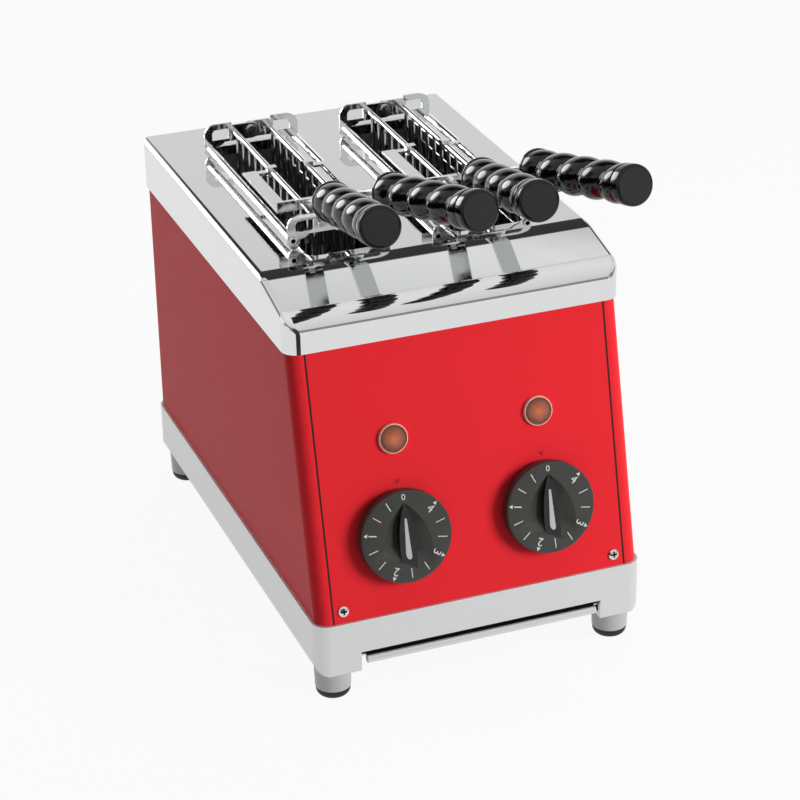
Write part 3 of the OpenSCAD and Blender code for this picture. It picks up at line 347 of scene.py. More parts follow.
# The sawn and sanded end of the grips: the same resin, matte and greyer.
phenolic_end = finish("sanded_phenolic_end", "#171717", 0.55, grain=0.8, mottle=0.15, height=0.01)
# Charcoal moulded plastic of the knobs, with a spark-eroded texture: dull and finely pitted.
charcoal = finish("charcoal_moulded_plastic", "#343431", 0.46, grain=0.5, mottle=0.08, height=0.012)
# Gloss black plastic of the pointers: darker and shinier than the disc round them.
gloss_black = finish("gloss_black_plastic", "#070707", 0.2, grain=3, mottle=0.2, height=0.002)
# White dial paint: slightly chalky.
dial_white = finish("white_dial_paint", "#cfcfca", 0.6, grain=0.6, mottle=0.04)
# Silver foil stamped on the pointers: metallic, with the grain of the plastic under it.
silver_foil = finish("silver_foil", "#c9cac6", 0.32, metal=0.85, grain=1.0, mottle=0.08)
# Dark red print of the index marks: flat, a shade deeper than the enamel.
index_red = finish("dark_red_print", "#8c1119", 0.5, grain=0.8, mottle=0.08, height=0.003)
# Pale clear plastic of the lamp rings: light goes a little way in, so that it takes a pink tint.
bezel_clear = finish("pale_clear_plastic", "#f3b9aa", 0.18, grain=3, mottle=0.03, height=0.002,
                     Subsurface_Weight=0.3)
# Painted shade for the seams beside the front panel: near black and dull, with a painted touch of red
# reflected from the enamel.
painted_seam_shade = finish("painted_seam_shade_black", "#1a0606", 0.7, grain=0.8, mottle=0.2)
# Moulded rubber of the foot tips: black, dull and a little rough.
rubber = finish("black_rubber", "#0b0b0b", 0.6, grain=0.8, mottle=0.2, height=0.015)
# Grey moulded sleeves of the feet: nearly the base's grey, with less flake.
sleeve_grey = finish("grey_moulded_sleeve", "#b6b7b7", 0.4, metal=0.3, mottle=0.03)
# Frosted quartz of the heater tubes: milky, with a soft shine.
quartz = finish("frosted_quartz", "#d9d2c8", 0.35, grain=3, mottle=0.04, height=0.002)
# Unglazed ceramic of the heater caps: white and chalky.
ceramic = finish("unglazed_ceramic", "#e4e1d8", 0.8, grain=0.9, mottle=0.05, height=0.01)
# Ivory plastic of the terminal block and lamp bodies: warm and smooth.
ivory = finish("ivory_plastic", "#ddd7c4", 0.45, grain=1.2, mottle=0.03)
# Matte black plastic of the cord gland: a plain moulding.
gland_black = finish("matte_black_plastic", "#141414", 0.5, grain=0.7, mottle=0.15, height=0.01)
# Woven glass sleeve round the wires: nearly black, dull, with a thread that runs lengthwise.
woven = finish("woven_glass_sleeve", "#2c2b29", 0.85, grain=0.8, mottle=0.35, height=0.05, stretch=(1, 1, 3))
print("plastic, rubber and ceramic: from", phenolic.name, "to", woven.name)

# %% [markdown]
# Now every solid takes its finish. A list for each finish says which solids wear it, since few finishes
# dress many solids. The tongs' names follow a pattern, so a loop adds those.

# %% Dress the solids
SOLID_FINISH = {
    red_enamel: ["side_panel_left", "side_panel_right", "front_panel", "rear_panel"],
    polished: ["top_cover"],
    satin_grey: ["base_frame", "crumb_tray"],
    sleeve_grey: ["foot_sleeves"],
    rubber: ["foot_tips"],
    zinc: ["foot_screws", "timer_screws", "timer_shaft_left", "timer_shaft_right", "left_tong_spring",
           "right_tong_spring"],
    bright_zinc: ["front_screws", "rear_screws", "cover_screws", "left_tong_pins", "right_tong_pins"],
    # The tray runners take the painted shade too.
    pan_painted_shade: ["tray_runners"],
    galvanised: ["floor_plate", "bulkhead_front", "bulkhead_rear", "timer_left", "timer_right"],
    reflector: ["reflectors_left", "reflectors_right"],
    ceramic: ["heater_caps"],
    quartz: ["heater_tubes_left", "heater_tubes_right"],
    gland_black: ["cord_gland"],
    woven: ["wiring_loom"],
    bezel_clear: ["lamp_bezels"],
    charcoal: ["knob_left", "knob_right"],
    silver_foil: ["knob_inlay_left", "knob_inlay_right"],
    ivory: ["terminal_block", "lamp_bodies", "lamp_lens_left", "lamp_lens_right"],
    bright_wire: ["slot_guards_left", "slot_guards_right"],
    bright_plate: [],
    phenolic: [],
}
tong_halves = [f"{side}_tong_{part}_" for side in SIDES for part in HALVES]
for half in tong_halves:
    SOLID_FINISH[bright_plate] += [half + "frame", half + "arm"]
    SOLID_FINISH[bright_wire].append(half + "grid")
    SOLID_FINISH[phenolic].append(half + "grip")
for material, names in SOLID_FINISH.items():
    for name in names:
        mesh = nodes[name].data
        mesh.materials.clear()
        mesh.materials.append(material)
print("finished solids:", sum(len(names) for names in SOLID_FINISH.values()))


# %% [markdown]
# Every new piece ends the same way: its mesh is smoothed up to a given angle, it takes a finish, it
# rides on a body, and it stands for the solids that it replaces. One function does that. Its
# object stays at the origin, because the place is in the mesh. Sizes in the next functions are in
# millimetres, as on a drawing: they make a clean mesh from points, turn a profile on a lathe, step along
# an arc and join meshes.

# %% Setting a finished piece on its body
MERGE = 0.0005 * MM


def set_piece(name, mesh, body, materials, replaced=(), smooth=35):
    mesh.name = name
    mesh.materials.clear()
    for material in materials:
        mesh.materials.append(material)
    mesh.shade_smooth()
    mesh.set_sharp_from_angle(angle=math.radians(smooth))
    piece = linked(name, mesh)
    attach(piece, body)
    if replaced:
        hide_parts(*replaced)
    return piece


def mesh_of(points, faces, place=None):
    mesh = bpy.data.meshes.new("draft")
    mesh.from_pydata([Vector(p) * MM for p in points], [], faces)
    shape = bmesh.new()
    shape.from_mesh(mesh)
    bmesh.ops.remove_doubles(shape, verts=shape.verts, dist=MERGE)
    bmesh.ops.recalc_face_normals(shape, faces=shape.faces)
    shape.to_mesh(mesh)
    shape.free()
    if place is not None:
        mesh.transform(place)
    return mesh


def lathe(profile, count):
    turns = [2 * math.pi * k / count for k in range(count)]
    points = [(r * math.cos(turn), r * math.sin(turn), z) for r, z in profile for turn in turns]
    rows = [i * count for i in range(len(profile) - 1)]
    faces = [(row + k, row + (k + 1) % count, row + count + (k + 1) % count, row + count + k)
             for row in rows for k in range(count)]
    return points, faces


def arc(centre, radius, start, end, steps):
    turns = [math.radians(start + (end - start) * i / steps) for i in range(steps + 1)]
    return [(centre[0] + radius * math.cos(turn), centre[1] + radius * math.sin(turn)) for turn in turns]


def joined(meshes):
    shape = bmesh.new()
    for mesh in meshes:
        shape.from_mesh(mesh)
    whole = bpy.data.meshes.new("joined")
    shape.to_mesh(whole)
    shape.free()
    return whole


print("quarter arc:", len(arc((0, 0), 1, 0, 90, 4)), "points")


# %% [markdown]
# Geometry Nodes make what follows a rule: the spiral of a grip, the curls of a spring, the ticks round a
# dial. Each tree has named inputs for its sizes. One function starts a tree, one ends it, and one runs it
# once, takes the plain mesh and throws the modifier away. Two more are sums that several trees share: a
# point on a circle, and a flat grid whose one side becomes the way round and the other the share of the
# way along.

# %% Running a tree of geometry nodes
SOCKETS = {int: "NodeSocketInt", float: "NodeSocketFloat"}


def growing(name, sizes):
    tree = bpy.data.node_groups.new(name, "GeometryNodeTree")
    for label, value in sizes.items():
        socket = tree.interface.new_socket(label, in_out="INPUT", socket_type=SOCKETS[type(value)])
        socket.default_value = value
    tree.interface.new_socket("Geometry", in_out="OUTPUT", socket_type="NodeSocketGeometry")
    return tree, tree.nodes.new("NodeGroupInput").outputs


def ended(tree, geometry, material):
    real = add(tree, "GeometryNodeRealizeInstances", [geometry])
    painted = add(tree, "GeometryNodeSetMaterial", {"Geometry": real, "Material": material})
    add(tree, "NodeGroupOutput", [painted])


def taken(holder):
    mesh = bpy.data.meshes.new_from_object(holder.evaluated_get(bpy.context.evaluated_depsgraph_get()))
    bpy.data.objects.remove(holder)
    return mesh


def grown(tree, sizes, place=Matrix()):
    holder = linked("holder", bpy.data.meshes.new("holder"))
    modifier = holder.modifiers.new("tree", "NODES")
    modifier.node_group = tree
    for item in tree.interface.items_tree:
        if item.in_out == "INPUT":
            modifier[item.identifier] = sizes[item.name]
    mesh = taken(holder)
    mesh.transform(place)
    return mesh


def circling(tree, radius, turn):
    return [add(tree, "MULTIPLY", [radius, add(tree, wave, [turn])])
            for wave in ("COSINE", "SINE")]


def rolling(tree, around, along):
    grid = add(tree, "GeometryNodeMeshGrid", {"Size X": 1.0, "Size Y": 1.0, "Vertices X": around,
                                              "Vertices Y": along})
    spot = add(tree, "ShaderNodeSeparateXYZ", [add(tree, "GeometryNodeInputPosition")]).outputs
    turn = add(tree, "MULTIPLY_ADD", [spot[0], 2 * math.pi, math.pi])
    return grid, turn, add(tree, "ADD", [spot[1], 0.5])


print("kinds of size a tree takes:", len(SOCKETS))

# %% [markdown]
# The grips are turned from black resin with one deep groove that winds round them like a slack rope. A
# profile could be swept along a helix, but a tube whose radius follows a wave has no seams. The wave
# depends on the angle plus a few turns along the length. A power below one makes the lobes round and the
# groove narrow. At both ends the radius falls to nothing, which closes the tube.

# %% Tree of the spiral
GRIP_LENGTH, GRIP_R = 119.0, 12.4
COLLAR_R, COLLAR_H, NECK_R, NECK_H = 12.8, 3.0, 10.2, 2.2
END_H, END_ROUND, END_BEVEL = 9.5, 2.2, 1.9
SPIRAL = {"Length": (GRIP_LENGTH - COLLAR_H - END_H + 1.0) * MM, "Groove": 9.6 * MM, "Lobe": 2.8 * MM,
          "Turns": 4.2, "Round": 0.85, "Around": 65, "Along": 220}

spiral_tree, size = growing("spiral_grip", SPIRAL)
tree = spiral_tree
grid, turn, share = rolling(tree, size["Around"], size["Along"])
twist = add(tree, "MULTIPLY", [share, size["Turns"]])
phase = add(tree, "MULTIPLY_ADD", [twist, 2 * math.pi, turn])
wave = add(tree, "SINE", [add(tree, "MULTIPLY", [phase, 0.5])])
lobe = add(tree, "POWER", [add(tree, "ABSOLUTE", [wave]), size["Round"]])
radius = add(tree, "MULTIPLY_ADD", [lobe, size["Lobe"], size["Groove"]])
inside = add(tree, "COMPARE", [share, 0.5, 0.4999])
radius = add(tree, "MULTIPLY", [radius, inside])
length = add(tree, "MULTIPLY", [share, size["Length"]])
rolled = add(tree, "ShaderNodeCombineXYZ", circling(tree, radius, turn) + [length])
tube = add(tree, "GeometryNodeSetPosition", {"Geometry": grid, "Position": rolled})
closed = add(tree, "GeometryNodeMergeByDistance", {"Geometry": tube, "Distance": MERGE})
ended(tree, closed, phenolic)
print("spiral:", SPIRAL["Turns"], "turns")

# %% [markdown]
# A collar and a plain end finish each grip. They are round, so a lathe turns them. The end's face is
# sanded, and takes the matte finish. Each grip leans up and outward, and its tip reaches as far forward
# as its solid does.

# %% Spiral grips
GRIP_X, GRIP_H = 18.5, 47.0
RISE, SPLAY = math.radians(14.3), math.radians(5.7)
TURNED = 72
collar_top = COLLAR_H + NECK_H
collar_side = [(0, 0), (COLLAR_R - 0.5, 0)] + arc((COLLAR_R - 0.6, 0.6), 0.6, -90, 0, 4)
collar_side += arc((COLLAR_R - 0.8, COLLAR_H - 0.8), 0.8, 0, 90, 4)
collar_side += [(NECK_R, COLLAR_H), (NECK_R, collar_top), (0, collar_top)]
end_low = GRIP_LENGTH - END_H
end_side = [(0, end_low), (GRIP_R - END_ROUND, end_low)]
end_side += arc((GRIP_R - END_ROUND, end_low + END_ROUND), END_ROUND, -90, 0, 6)
end_side += arc((GRIP_R - END_BEVEL, GRIP_LENGTH - END_BEVEL), END_BEVEL, 0, 90, 5)
face_side = [(GRIP_R - END_BEVEL, GRIP_LENGTH), (0, GRIP_LENGTH)]
cover_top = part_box("top_cover")[1].z

for side, side_sign in SIDES.items():
    for part, part_sign in HALVES.items():
        node = f"{side}_tong_{part}_grip"
        hinge_x = joints[f"{side}_tong_{part}_open"]["pos_m"][0]
        sign = side_sign * part_sign
        aim = Vector((sign * math.sin(SPLAY) * math.cos(RISE), -math.cos(SPLAY) * math.cos(RISE),
                      math.sin(RISE)))
        tip_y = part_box(node)[0].y + (GRIP_R - END_BEVEL + 0.1) * MM * math.sqrt(1 - aim.y ** 2)
        start = Vector((side_sign * abs(hinge_x) + sign * GRIP_X * MM, tip_y - GRIP_LENGTH * MM * aim.y,
                        cover_top + GRIP_H * MM))
        place = Matrix.Translation(start) @ aim.to_track_quat("Z", "Y").to_matrix().to_4x4()
        spiral = grown(spiral_tree, SPIRAL, place @ Matrix.Translation((0, 0, (COLLAR_H - 0.5) * MM)))
        collar, end, cap = [mesh_of(*lathe(profile, TURNED), place)
                            for profile in (collar_side, end_side, face_side)]
        whole = joined([spiral, collar, end, cap])
        set_piece(f"{side}_{part}_spiral_grip", whole, f"{side}_tong_{part}",
                  [phenolic, phenolic_end], [node])
        for polygon in whole.polygons[-len(cap.polygons):]:
            polygon.material_index = 1
print("grips:", len(whole.polygons), "faces each")

# %% [markdown]
# Each tong is closed by a torsion spring on its front hinge pin. A screw modifier could wind it, but not
# bend its legs. The tree strings points along a helix, lays the first and last point out sideways as the
# legs, and sweeps a round wire along them.

# %% Torsion springs
SPRING = {"Radius": 2.95 * MM, "Pitch": 1.75 * MM, "Wire": 0.6 * MM, "Leg": 8.9 * MM, "Curls": 5,
          "Points": 28}
tree, size = growing("torsion_spring", SPRING)
steps = add(tree, "MULTIPLY", [size["Curls"], size["Points"]])
line = add(tree, "GeometryNodeMeshLine", {"Count": add(tree, "ADD", [steps, 3.0])})
index = add(tree, "SUBTRACT", [add(tree, "GeometryNodeInputIndex"), 1.0])
step = add(tree, "MINIMUM", [add(tree, "MAXIMUM", [index, 0.0]), steps])
turns = add(tree, "DIVIDE", [step, size["Points"]])
turn = add(tree, "MULTIPLY_ADD", [turns, 2 * math.pi, math.pi / 2])
first = add(tree, "LESS_THAN", [index, -0.5])
last = add(tree, "GREATER_THAN", [index, add(tree, "ADD", [steps, 0.5])])
legs = add(tree, "SUBTRACT", [first, last])
coil_x, coil_y = circling(tree, size["Radius"], turn)
coil = add(tree, "ShaderNodeCombineXYZ", [
    add(tree, "MULTIPLY_ADD", [legs, size["Leg"], coil_x]), coil_y,
    add(tree, "MULTIPLY", [turns, size["Pitch"]])])
strung = add(tree, "GeometryNodeSetPosition", {"Geometry": line, "Position": coil})
curve = add(tree, "GeometryNodeMeshToCurve", [strung])
ring = add(tree, "GeometryNodeCurvePrimitiveCircle", {"Resolution": 12, "Radius": size["Wire"]})
wire = add(tree, "GeometryNodeCurveToMesh", {"Curve": curve, "Profile Curve": ring, "Fill Caps": True})
ended(tree, wire, zinc)
for side in SIDES:
    node = f"{side}_tong_spring"
    hinge = joints[f"{side}_tong_outer_open"]["pos_m"]
    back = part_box(node)[1].y - SPRING["Wire"]
    place = Matrix.Translation((hinge[0], back, hinge[2])) @ Matrix.Rotation(math.pi / 2, 4, "X")
    set_piece(f"{side}_torsion_spring", grown(tree, SPRING, place), f"{side}_tong", [zinc],
              [node])
print("springs:", SPRING["Curls"], "curls")


# %% [markdown]
# The top cover is pressed from sheet and polished like a mirror, so any flat facet in its curves would
# show. It could be a subdivided cage, but then its flats would not stay flat. It starts instead as a
# plain block in the shape of its side view. Each edge has its own rounding: wide at the nose, gentle at
# the brow, small along the top. A bevel that reads a weight from each edge makes them all at once.

# %% Rounded block of the cover
TOP_D, TOP_Z, SKIRT_Z, HALF_W = 307.0, 259.0, 225.0, 110.0
FLAT_D, SLOPE = 260.0, math.radians(13)
BROW_R, NOSE_R, EDGE_R, CORNER_R = 60.0, 14.0, 4.0, 10.0
back_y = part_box("top_cover")[1].y / MM


def evaluated(mesh, kind, **options):
    holder = linked("holder", mesh)
    modifier = holder.modifiers.new(kind, kind)
    for name, value in options.items():
        setattr(modifier, name, value)
    return taken(holder)


nose_z = TOP_Z - (TOP_D - FLAT_D) * math.tan(SLOPE)
outline = [(0, SKIRT_Z), (0, TOP_Z), (FLAT_D, TOP_Z), (TOP_D, nose_z), (TOP_D, SKIRT_Z)]
corners = [(x, back_y - d, z) for x in (-HALF_W, HALF_W) for d, z in outline]
count = len(outline)
block = mesh_of(corners, [tuple(range(count)), tuple(range(count, 2 * count))]
                + [(i, (i + 1) % count, count + (i + 1) % count, count + i) for i in range(count)])
nose_width, brow_width = NOSE_R / math.tan(math.pi / 4 + SLOPE / 2), BROW_R * math.tan(SLOPE / 2)
weights = block.attributes.new("bevel_weight_edge", "FLOAT", "EDGE")
for edge in block.edges:
    a, b = (block.vertices[i].co / MM for i in edge.vertices)
    middle = (a + b) / 2
    if middle.z < SKIRT_Z + 1:
        width = 0
    elif abs(a.x - b.x) < 1:
        width = CORNER_R if abs(a.y - b.y) < 1 else EDGE_R
    elif middle.z < TOP_Z - 1:
        width = nose_width
    else:
        width = brow_width if middle.y < 0 else EDGE_R
    weights.data[edge.index].value = width / nose_width
rounded = evaluated(block, "BEVEL", width=nose_width * MM, segments=12, limit_method="WEIGHT",
                    offset_type="OFFSET", use_clamp_overlap=False)
print("rounded block:", len(rounded.polygons), "faces")


# %% [markdown]
# The bread goes in through two slots with rolled rims. Cutting them out of a finished sheet would leave
# raw edges, so they are cut into the block as shallow pockets. Their floors and the block's underside are
# taken away, the rims are rounded, and what is left is thickened as a sheet.

# %% Slots and sheet of the cover
SLOT_X, SLOT_HALF, SLOT_BACK, SLOT_END, SLOT_R, SLOT_LIP, RIM_R = 48.0, 24.0, 40.0, 243.0, 6.0, 7.5, 1.2
SHEET, POCKET_RISE, RIM_ANGLE = 1.5, 5.0, 1.2
NEAR, WELD = 0.01 * MM, 0.001 * MM


def prism(outline, low, high, place=None):
    count = len(outline)
    points = [(x, y, z) for z in (low, high) for x, y in outline]
    faces = [tuple(range(count)), tuple(range(count, 2 * count))]
    faces += [(i, (i + 1) % count, count + (i + 1) % count, count + i) for i in range(count)]
    return mesh_of(points, faces, place)


def round_box(x0, x1, y0, y1, r, steps=8):
    return (arc((x1 - r, y1 - r), r, 0, 90, steps) + arc((x0 + r, y1 - r), r, 90, 180, steps)
            + arc((x0 + r, y0 + r), r, 180, 270, steps) + arc((x1 - r, y0 + r), r, 270, 360, steps))


def carved(mesh, tools):
    cutter = linked("cutter", joined(tools))
    result = evaluated(mesh, "BOOLEAN", object=cutter, operation="DIFFERENCE", solver="EXACT")
    bpy.data.objects.remove(cutter)
    return result


pockets = [prism(round_box(x - SLOT_HALF, x + SLOT_HALF, back_y - SLOT_END, back_y - SLOT_BACK, SLOT_R),
                 TOP_Z - SLOT_LIP, TOP_Z + POCKET_RISE) for x in (-SLOT_X, SLOT_X)]
cut = carved(rounded, pockets)
shape = bmesh.new()
shape.from_mesh(cut)
bmesh.ops.remove_doubles(shape, verts=shape.verts, dist=WELD)
bmesh.ops.dissolve_limit(shape, angle_limit=math.radians(0.2), verts=shape.verts, edges=shape.edges)
floor_z = (TOP_Z - SLOT_LIP) * MM
hidden = [f for f in shape.faces if f.calc_center_median().z < (SKIRT_Z + 0.1) * MM
          or abs(f.calc_center_median().z - floor_z) < 5 * NEAR and abs(f.normal.z) > 0.9]
bmesh.ops.delete(shape, geom=hidden, context="FACES")
rims = [e for e in shape.edges if len(e.link_faces) == 2 and e.calc_face_angle(0) > RIM_ANGLE
        and all(abs(v.co.z - TOP_Z * MM) < NEAR for v in e.verts)]
bmesh.ops.bevel(shape, geom=rims, offset=RIM_R * MM, offset_type="OFFSET", segments=4, profile=0.5,
                affect="EDGES")
bmesh.ops.recalc_face_normals(shape, faces=shape.faces)
if max(shape.faces, key=lambda f: f.calc_center_median().z + f.calc_area()).normal.z < 0:
    bmesh.ops.reverse_faces(shape, faces=shape.faces)
shape.to_mesh(cut)
shape.free()
sheet = evaluated(cut, "SOLIDIFY", thickness=SHEET * MM, offset=-1.0, use_even_offset=True)
cover = set_piece("mirror_cover", sheet, "toaster_body", [polished], ["top_cover"],
                  smooth=40)
cover.modifiers.new("even_shading", "WEIGHTED_NORMAL").keep_sharp = True
print("cover:", len(sheet.polygons), "faces, rims:", len(rims))


# %% [markdown]
# Sheet metal and castings never have knife edges: a tumbled or painted edge carries a thin line of light.
# A bevel in the shader would show that too, but not in the exported shape, so copies of the plainer
# solids are rounded here. Their triangles are merged back into flat faces, and every sharp edge gets a
# few tenths of a millimetre. The panels are enamelled outside only: each face that looks toward the
# body's middle stays bare galvanised sheet. Behind its lip the tray is painted black as shade.

# %% Softened edges
SHARP, FLAT = math.radians(35), math.radians(0.3)
SOFT = {"base_frame": 0.9, "crumb_tray": 0.3, "front_panel": 0.45, "side_panel_left": 0.45,
        "side_panel_right": 0.45, "rear_panel": 0.45, "foot_sleeves": 0.6}
SOFT.update({half + part: 0.3 for half in tong_halves for part in ("frame", "arm")})
BODY_MIDDLE = Vector((0, 0, 0.14))
LIP_DEEP = 7.0 * MM


def softened(name, width):
    shape = bmesh.new()
    shape.from_mesh(nodes[name].data)
    shape.transform(nodes[name].matrix_world)
    bmesh.ops.remove_doubles(shape, verts=shape.verts, dist=WELD)
    bmesh.ops.dissolve_limit(shape, angle_limit=FLAT, verts=shape.verts, edges=shape.edges)
    edges = [e for e in shape.edges if len(e.link_faces) == 2 and e.calc_face_angle(0) > SHARP]
    bmesh.ops.bevel(shape, geom=edges, offset=width * MM, offset_type="OFFSET", segments=2, profile=0.5,
                    affect="EDGES", clamp_overlap=True)
    mesh = bpy.data.meshes.new(name)
    shape.to_mesh(mesh)
    shape.free()
    return mesh


for name, width in SOFT.items():
    material = nodes[name].data.materials[0]
    mesh = softened(name, width)
    piece = set_piece(name + "_soft", mesh, nodes[name]["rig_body"],
                      [material, pan_painted_shade if name == "crumb_tray" else galvanised], [name])
    lip_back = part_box(name)[0].y + LIP_DEEP
    for polygon in mesh.polygons:
        if name == "crumb_tray":
            # Faces of the tray behind the lip take the painted shade.
            polygon.material_index = int(polygon.center.y > lip_back)
        elif material == red_enamel:
            polygon.material_index = int(polygon.normal.dot(polygon.center - BODY_MIDDLE) < 0)
    piece.modifiers.new("even_shading", "WEIGHTED_NORMAL").keep_sharp = True
print("softened:", len(SOFT))

# %% [markdown]
# The panel screws have domed heads with a cross in them. A boolean could cut the cross, but its edges
# would be knife sharp at this size. The tree rolls a grid into a disc: one side is the angle, the other
# runs from the middle to the rim and down the edge. The height follows a ball, and sinks smoothly where
# the point lies inside one of two crossed bars. How far it sinks is stored as an attribute, for the
# finish.

# %% Head of a screw
SCREW = {"Apart": 182.0 * MM, "Head": 3.3 * MM, "High": 1.8 * MM, "Bar": 4.0 * MM, "Thin": 0.95 * MM,
         "Deep": 0.9 * MM, "Shank": 2.0 * MM, "Long": 7.0 * MM, "Around": 97, "Rings": 44}
screw_tree, size = growing("cross_head_screws", SCREW)
tree = screw_tree
grid, turn, share = rolling(tree, size["Around"], size["Rings"])
outward = add(tree, "MULTIPLY", [share, 1.1])
radius = add(tree, "MULTIPLY", [add(tree, "MINIMUM", [outward, 1.0]), size["Head"]])
over = circling(tree, radius, turn)
ball = add(tree, "MULTIPLY", [size["Head"], 2.0])
squares = [add(tree, "POWER", [length, 2.0]) for length in (ball, radius)]
drop = add(tree, "SQRT", [add(tree, "SUBTRACT", squares)])
dome = add(tree, "ADD", [add(tree, "SUBTRACT", [size["High"], ball]), drop])
reaches = [add(tree, "ABSOLUTE", [length]) for length in over]
sunk = []
for pick, reach, blur in (("MINIMUM", "Thin", 0.12 * MM), ("MAXIMUM", "Bar", 0.2 * MM)):
    edges = [add(tree, "MULTIPLY_ADD", [size[reach], 0.5, shift]) for shift in (-blur, blur)]
    sunk.append(add(tree, "ShaderNodeMapRange", [add(tree, pick, reaches), *edges, 1.0, 0.0],
                    interpolation_type="SMOOTHSTEP"))
recess = add(tree, "MULTIPLY", sunk)
sinking = add(tree, "MULTIPLY", [recess, size["Deep"]])
height = add(tree, "SUBTRACT", [dome, sinking])
on_top = add(tree, "LESS_THAN", [outward, 1.05])
height = add(tree, "MULTIPLY", [height, on_top])
marked = add(tree, "GeometryNodeStoreNamedAttribute", {"Geometry": grid, "Name": "recess", "Value": recess},
             data_type="FLOAT", domain="POINT")
domed = add(tree, "GeometryNodeSetPosition", {
    "Geometry": marked, "Position": add(tree, "ShaderNodeCombineXYZ", over + [height])})
head = add(tree, "GeometryNodeMergeByDistance", {"Geometry": domed, "Distance": MERGE})
print("screw head:", SCREW["Around"], "by", SCREW["Rings"], "points")

# %% [markdown]
# A head and a plain shank make a screw, and it is set on two points, since these screws always come in
# pairs. The plating is bright, and the cross gets painted shade: the finish reads the attribute and
# turns dark there. The front pair stands on the leaning panel, which leans as the knobs' axis does.

# %% Panel screws
SCREW_DROP = 41.7
shank = add(tree, "GeometryNodeMeshCylinder", {"Vertices": 32, "Radius": size["Shank"],
                                               "Depth": size["Long"]})
sink = add(tree, "ShaderNodeCombineXYZ", {2: add(tree, "MULTIPLY", [size["Long"], -0.5])})
lowered = add(tree, "GeometryNodeTransform", {"Geometry": shank, "Translation": sink})
screw = add(tree, "GeometryNodeJoinGeometry")
for piece in (lowered, head):
    tree.links.new(piece.outputs[0], screw.inputs[0])
start = add(tree, "ShaderNodeCombineXYZ", {0: add(tree, "MULTIPLY", [size["Apart"], -0.5])})
step = add(tree, "ShaderNodeCombineXYZ", {0: size["Apart"]})
pair = add(tree, "GeometryNodeMeshLine", {"Count": 2, "Start Location": start, "Offset": step})
placed = add(tree, "GeometryNodeInstanceOnPoints", {"Points": pair, "Instance": screw})

# Bright zinc on the screw heads, with painted shade darkening the cross.
BRIGHT, RECESS_SHADE = "#dcdad4", "#0d0c0b"
screw_zinc = finish("bright_zinc_screw", BRIGHT, 0.16, metal=1.0, grain=1.5, mottle=0.05, height=0.002)
tree = screw_zinc.node_tree
sunken = add(tree, "ShaderNodeAttribute", attribute_name="recess").outputs["Fac"]
recess_shade = add(tree, "ShaderNodeMix", {0: sunken, 6: linear(BRIGHT), 7: linear(RECESS_SHADE)}, data_type="RGBA")
tree.links.new(recess_shade.outputs[2], tree.nodes["Principled BSDF"].inputs["Base Color"])
ended(screw_tree, placed, screw_zinc)

knob_axis = joints["left_knob_turn"]["axis"]
panel_turn = Matrix.Rotation(math.pi / 2 - math.atan2(-knob_axis[2], knob_axis[1]), 4, "X")
panel_place = Matrix.Translation((0, *joints["left_knob_turn"]["pos_m"][1:])) @ panel_turn
screw_places = {"front_screws": panel_place @ Matrix.Translation((0, -SCREW_DROP * MM, 0))}
for name in ("rear_screws", "cover_screws"):
    low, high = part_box(name)
    screw_places[name] = (Matrix.Translation((0, high.y - SCREW["High"], (low.z + high.z) / 2))
                          @ Matrix.Rotation(-math.pi / 2, 4, "X"))
for name, place in screw_places.items():
    low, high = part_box(name)
    mesh = grown(screw_tree, {**SCREW, "Apart": high.x - low.x - 2 * SCREW["Head"]}, place)
    set_piece(name + "_crossed", mesh, "toaster_body", [screw_zinc], [name], smooth=50)
print("screw pairs:", len(screw_places))

# %% [markdown]
# Beside the front panel runs a seam on each side, and the shade in it shows as a dark line just over a
# millimetre wide. Two thin strips carry that line as painted shade. A gap between the panels would do the
# same, but the strips also hide the inside.

# %% Seams
SEAM_X, SEAM_HALF, SEAM_LOW, SEAM_HIGH = 97.85, 0.6, -49.0, 123.0
SEAM_DEEP, SEAM_PROUD = -0.4, 0.05
# The strips are painted shade for the seams.
strips = [prism([(x - SEAM_HALF, SEAM_LOW), (x + SEAM_HALF, SEAM_LOW), (x + SEAM_HALF, SEAM_HIGH),
                 (x - SEAM_HALF, SEAM_HIGH)], SEAM_DEEP, SEAM_PROUD, panel_place) for x in (-SEAM_X, SEAM_X)]
set_piece("front_seam_painted_shade", joined(strips), "toaster_body", [painted_seam_shade])
print("seams:", len(strips))


# %% [markdown]
# A timer knob is a moulded disc with a finger scoop on each side of a pointer. Spheres could be cut out
# of it, but a real scoop is deepest beside the pointer and climbs to a crisp arc. So each is built as a
# small curved surface closed into a cutting block. The pointer's outline comes from one rule for its half
# width. The left scoop stops short, which gives the pointer its slanted tail.

# %% Knob disc with finger scoops
KNOB_R, KNOB_LOW, KNOB_FACE, KNOB_RIM, KNOB_FOOT, KNOB_AROUND = 29.5, 1.6, 9.1, 1.2, 0.8, 96
POINTER_TIP, POINTER_WIDE_Y, POINTER_W = 22.0, -10.5, 5.3
TAIL = {1: -20.8, -1: -15.2}
SCOOP_DEPTH, SCOOP_R, SCOOP_W, SCOOP_LOW, SCOOP_START = 4.6, 39.5, 16.0, 10.0, 21.4
STEPS, ACROSS = 48, 14


def pointer_half(y):
    if y > POINTER_WIDE_Y:
        return max(POINTER_W * (1 - ((y - POINTER_WIDE_Y) / (POINTER_TIP - POINTER_WIDE_Y)) ** 2.4), 0.25)
    return POINTER_W - 0.7 * ((POINTER_WIDE_Y - y) / 10.3) ** 2


def scoop_half(y):
    return SCOOP_W - SCOOP_R + math.sqrt(SCOOP_R ** 2 - (y + SCOOP_LOW) ** 2)


def ease(t):
    t = min(max(t, 0.0), 1.0)
    return t * t * (3 - 2 * t)


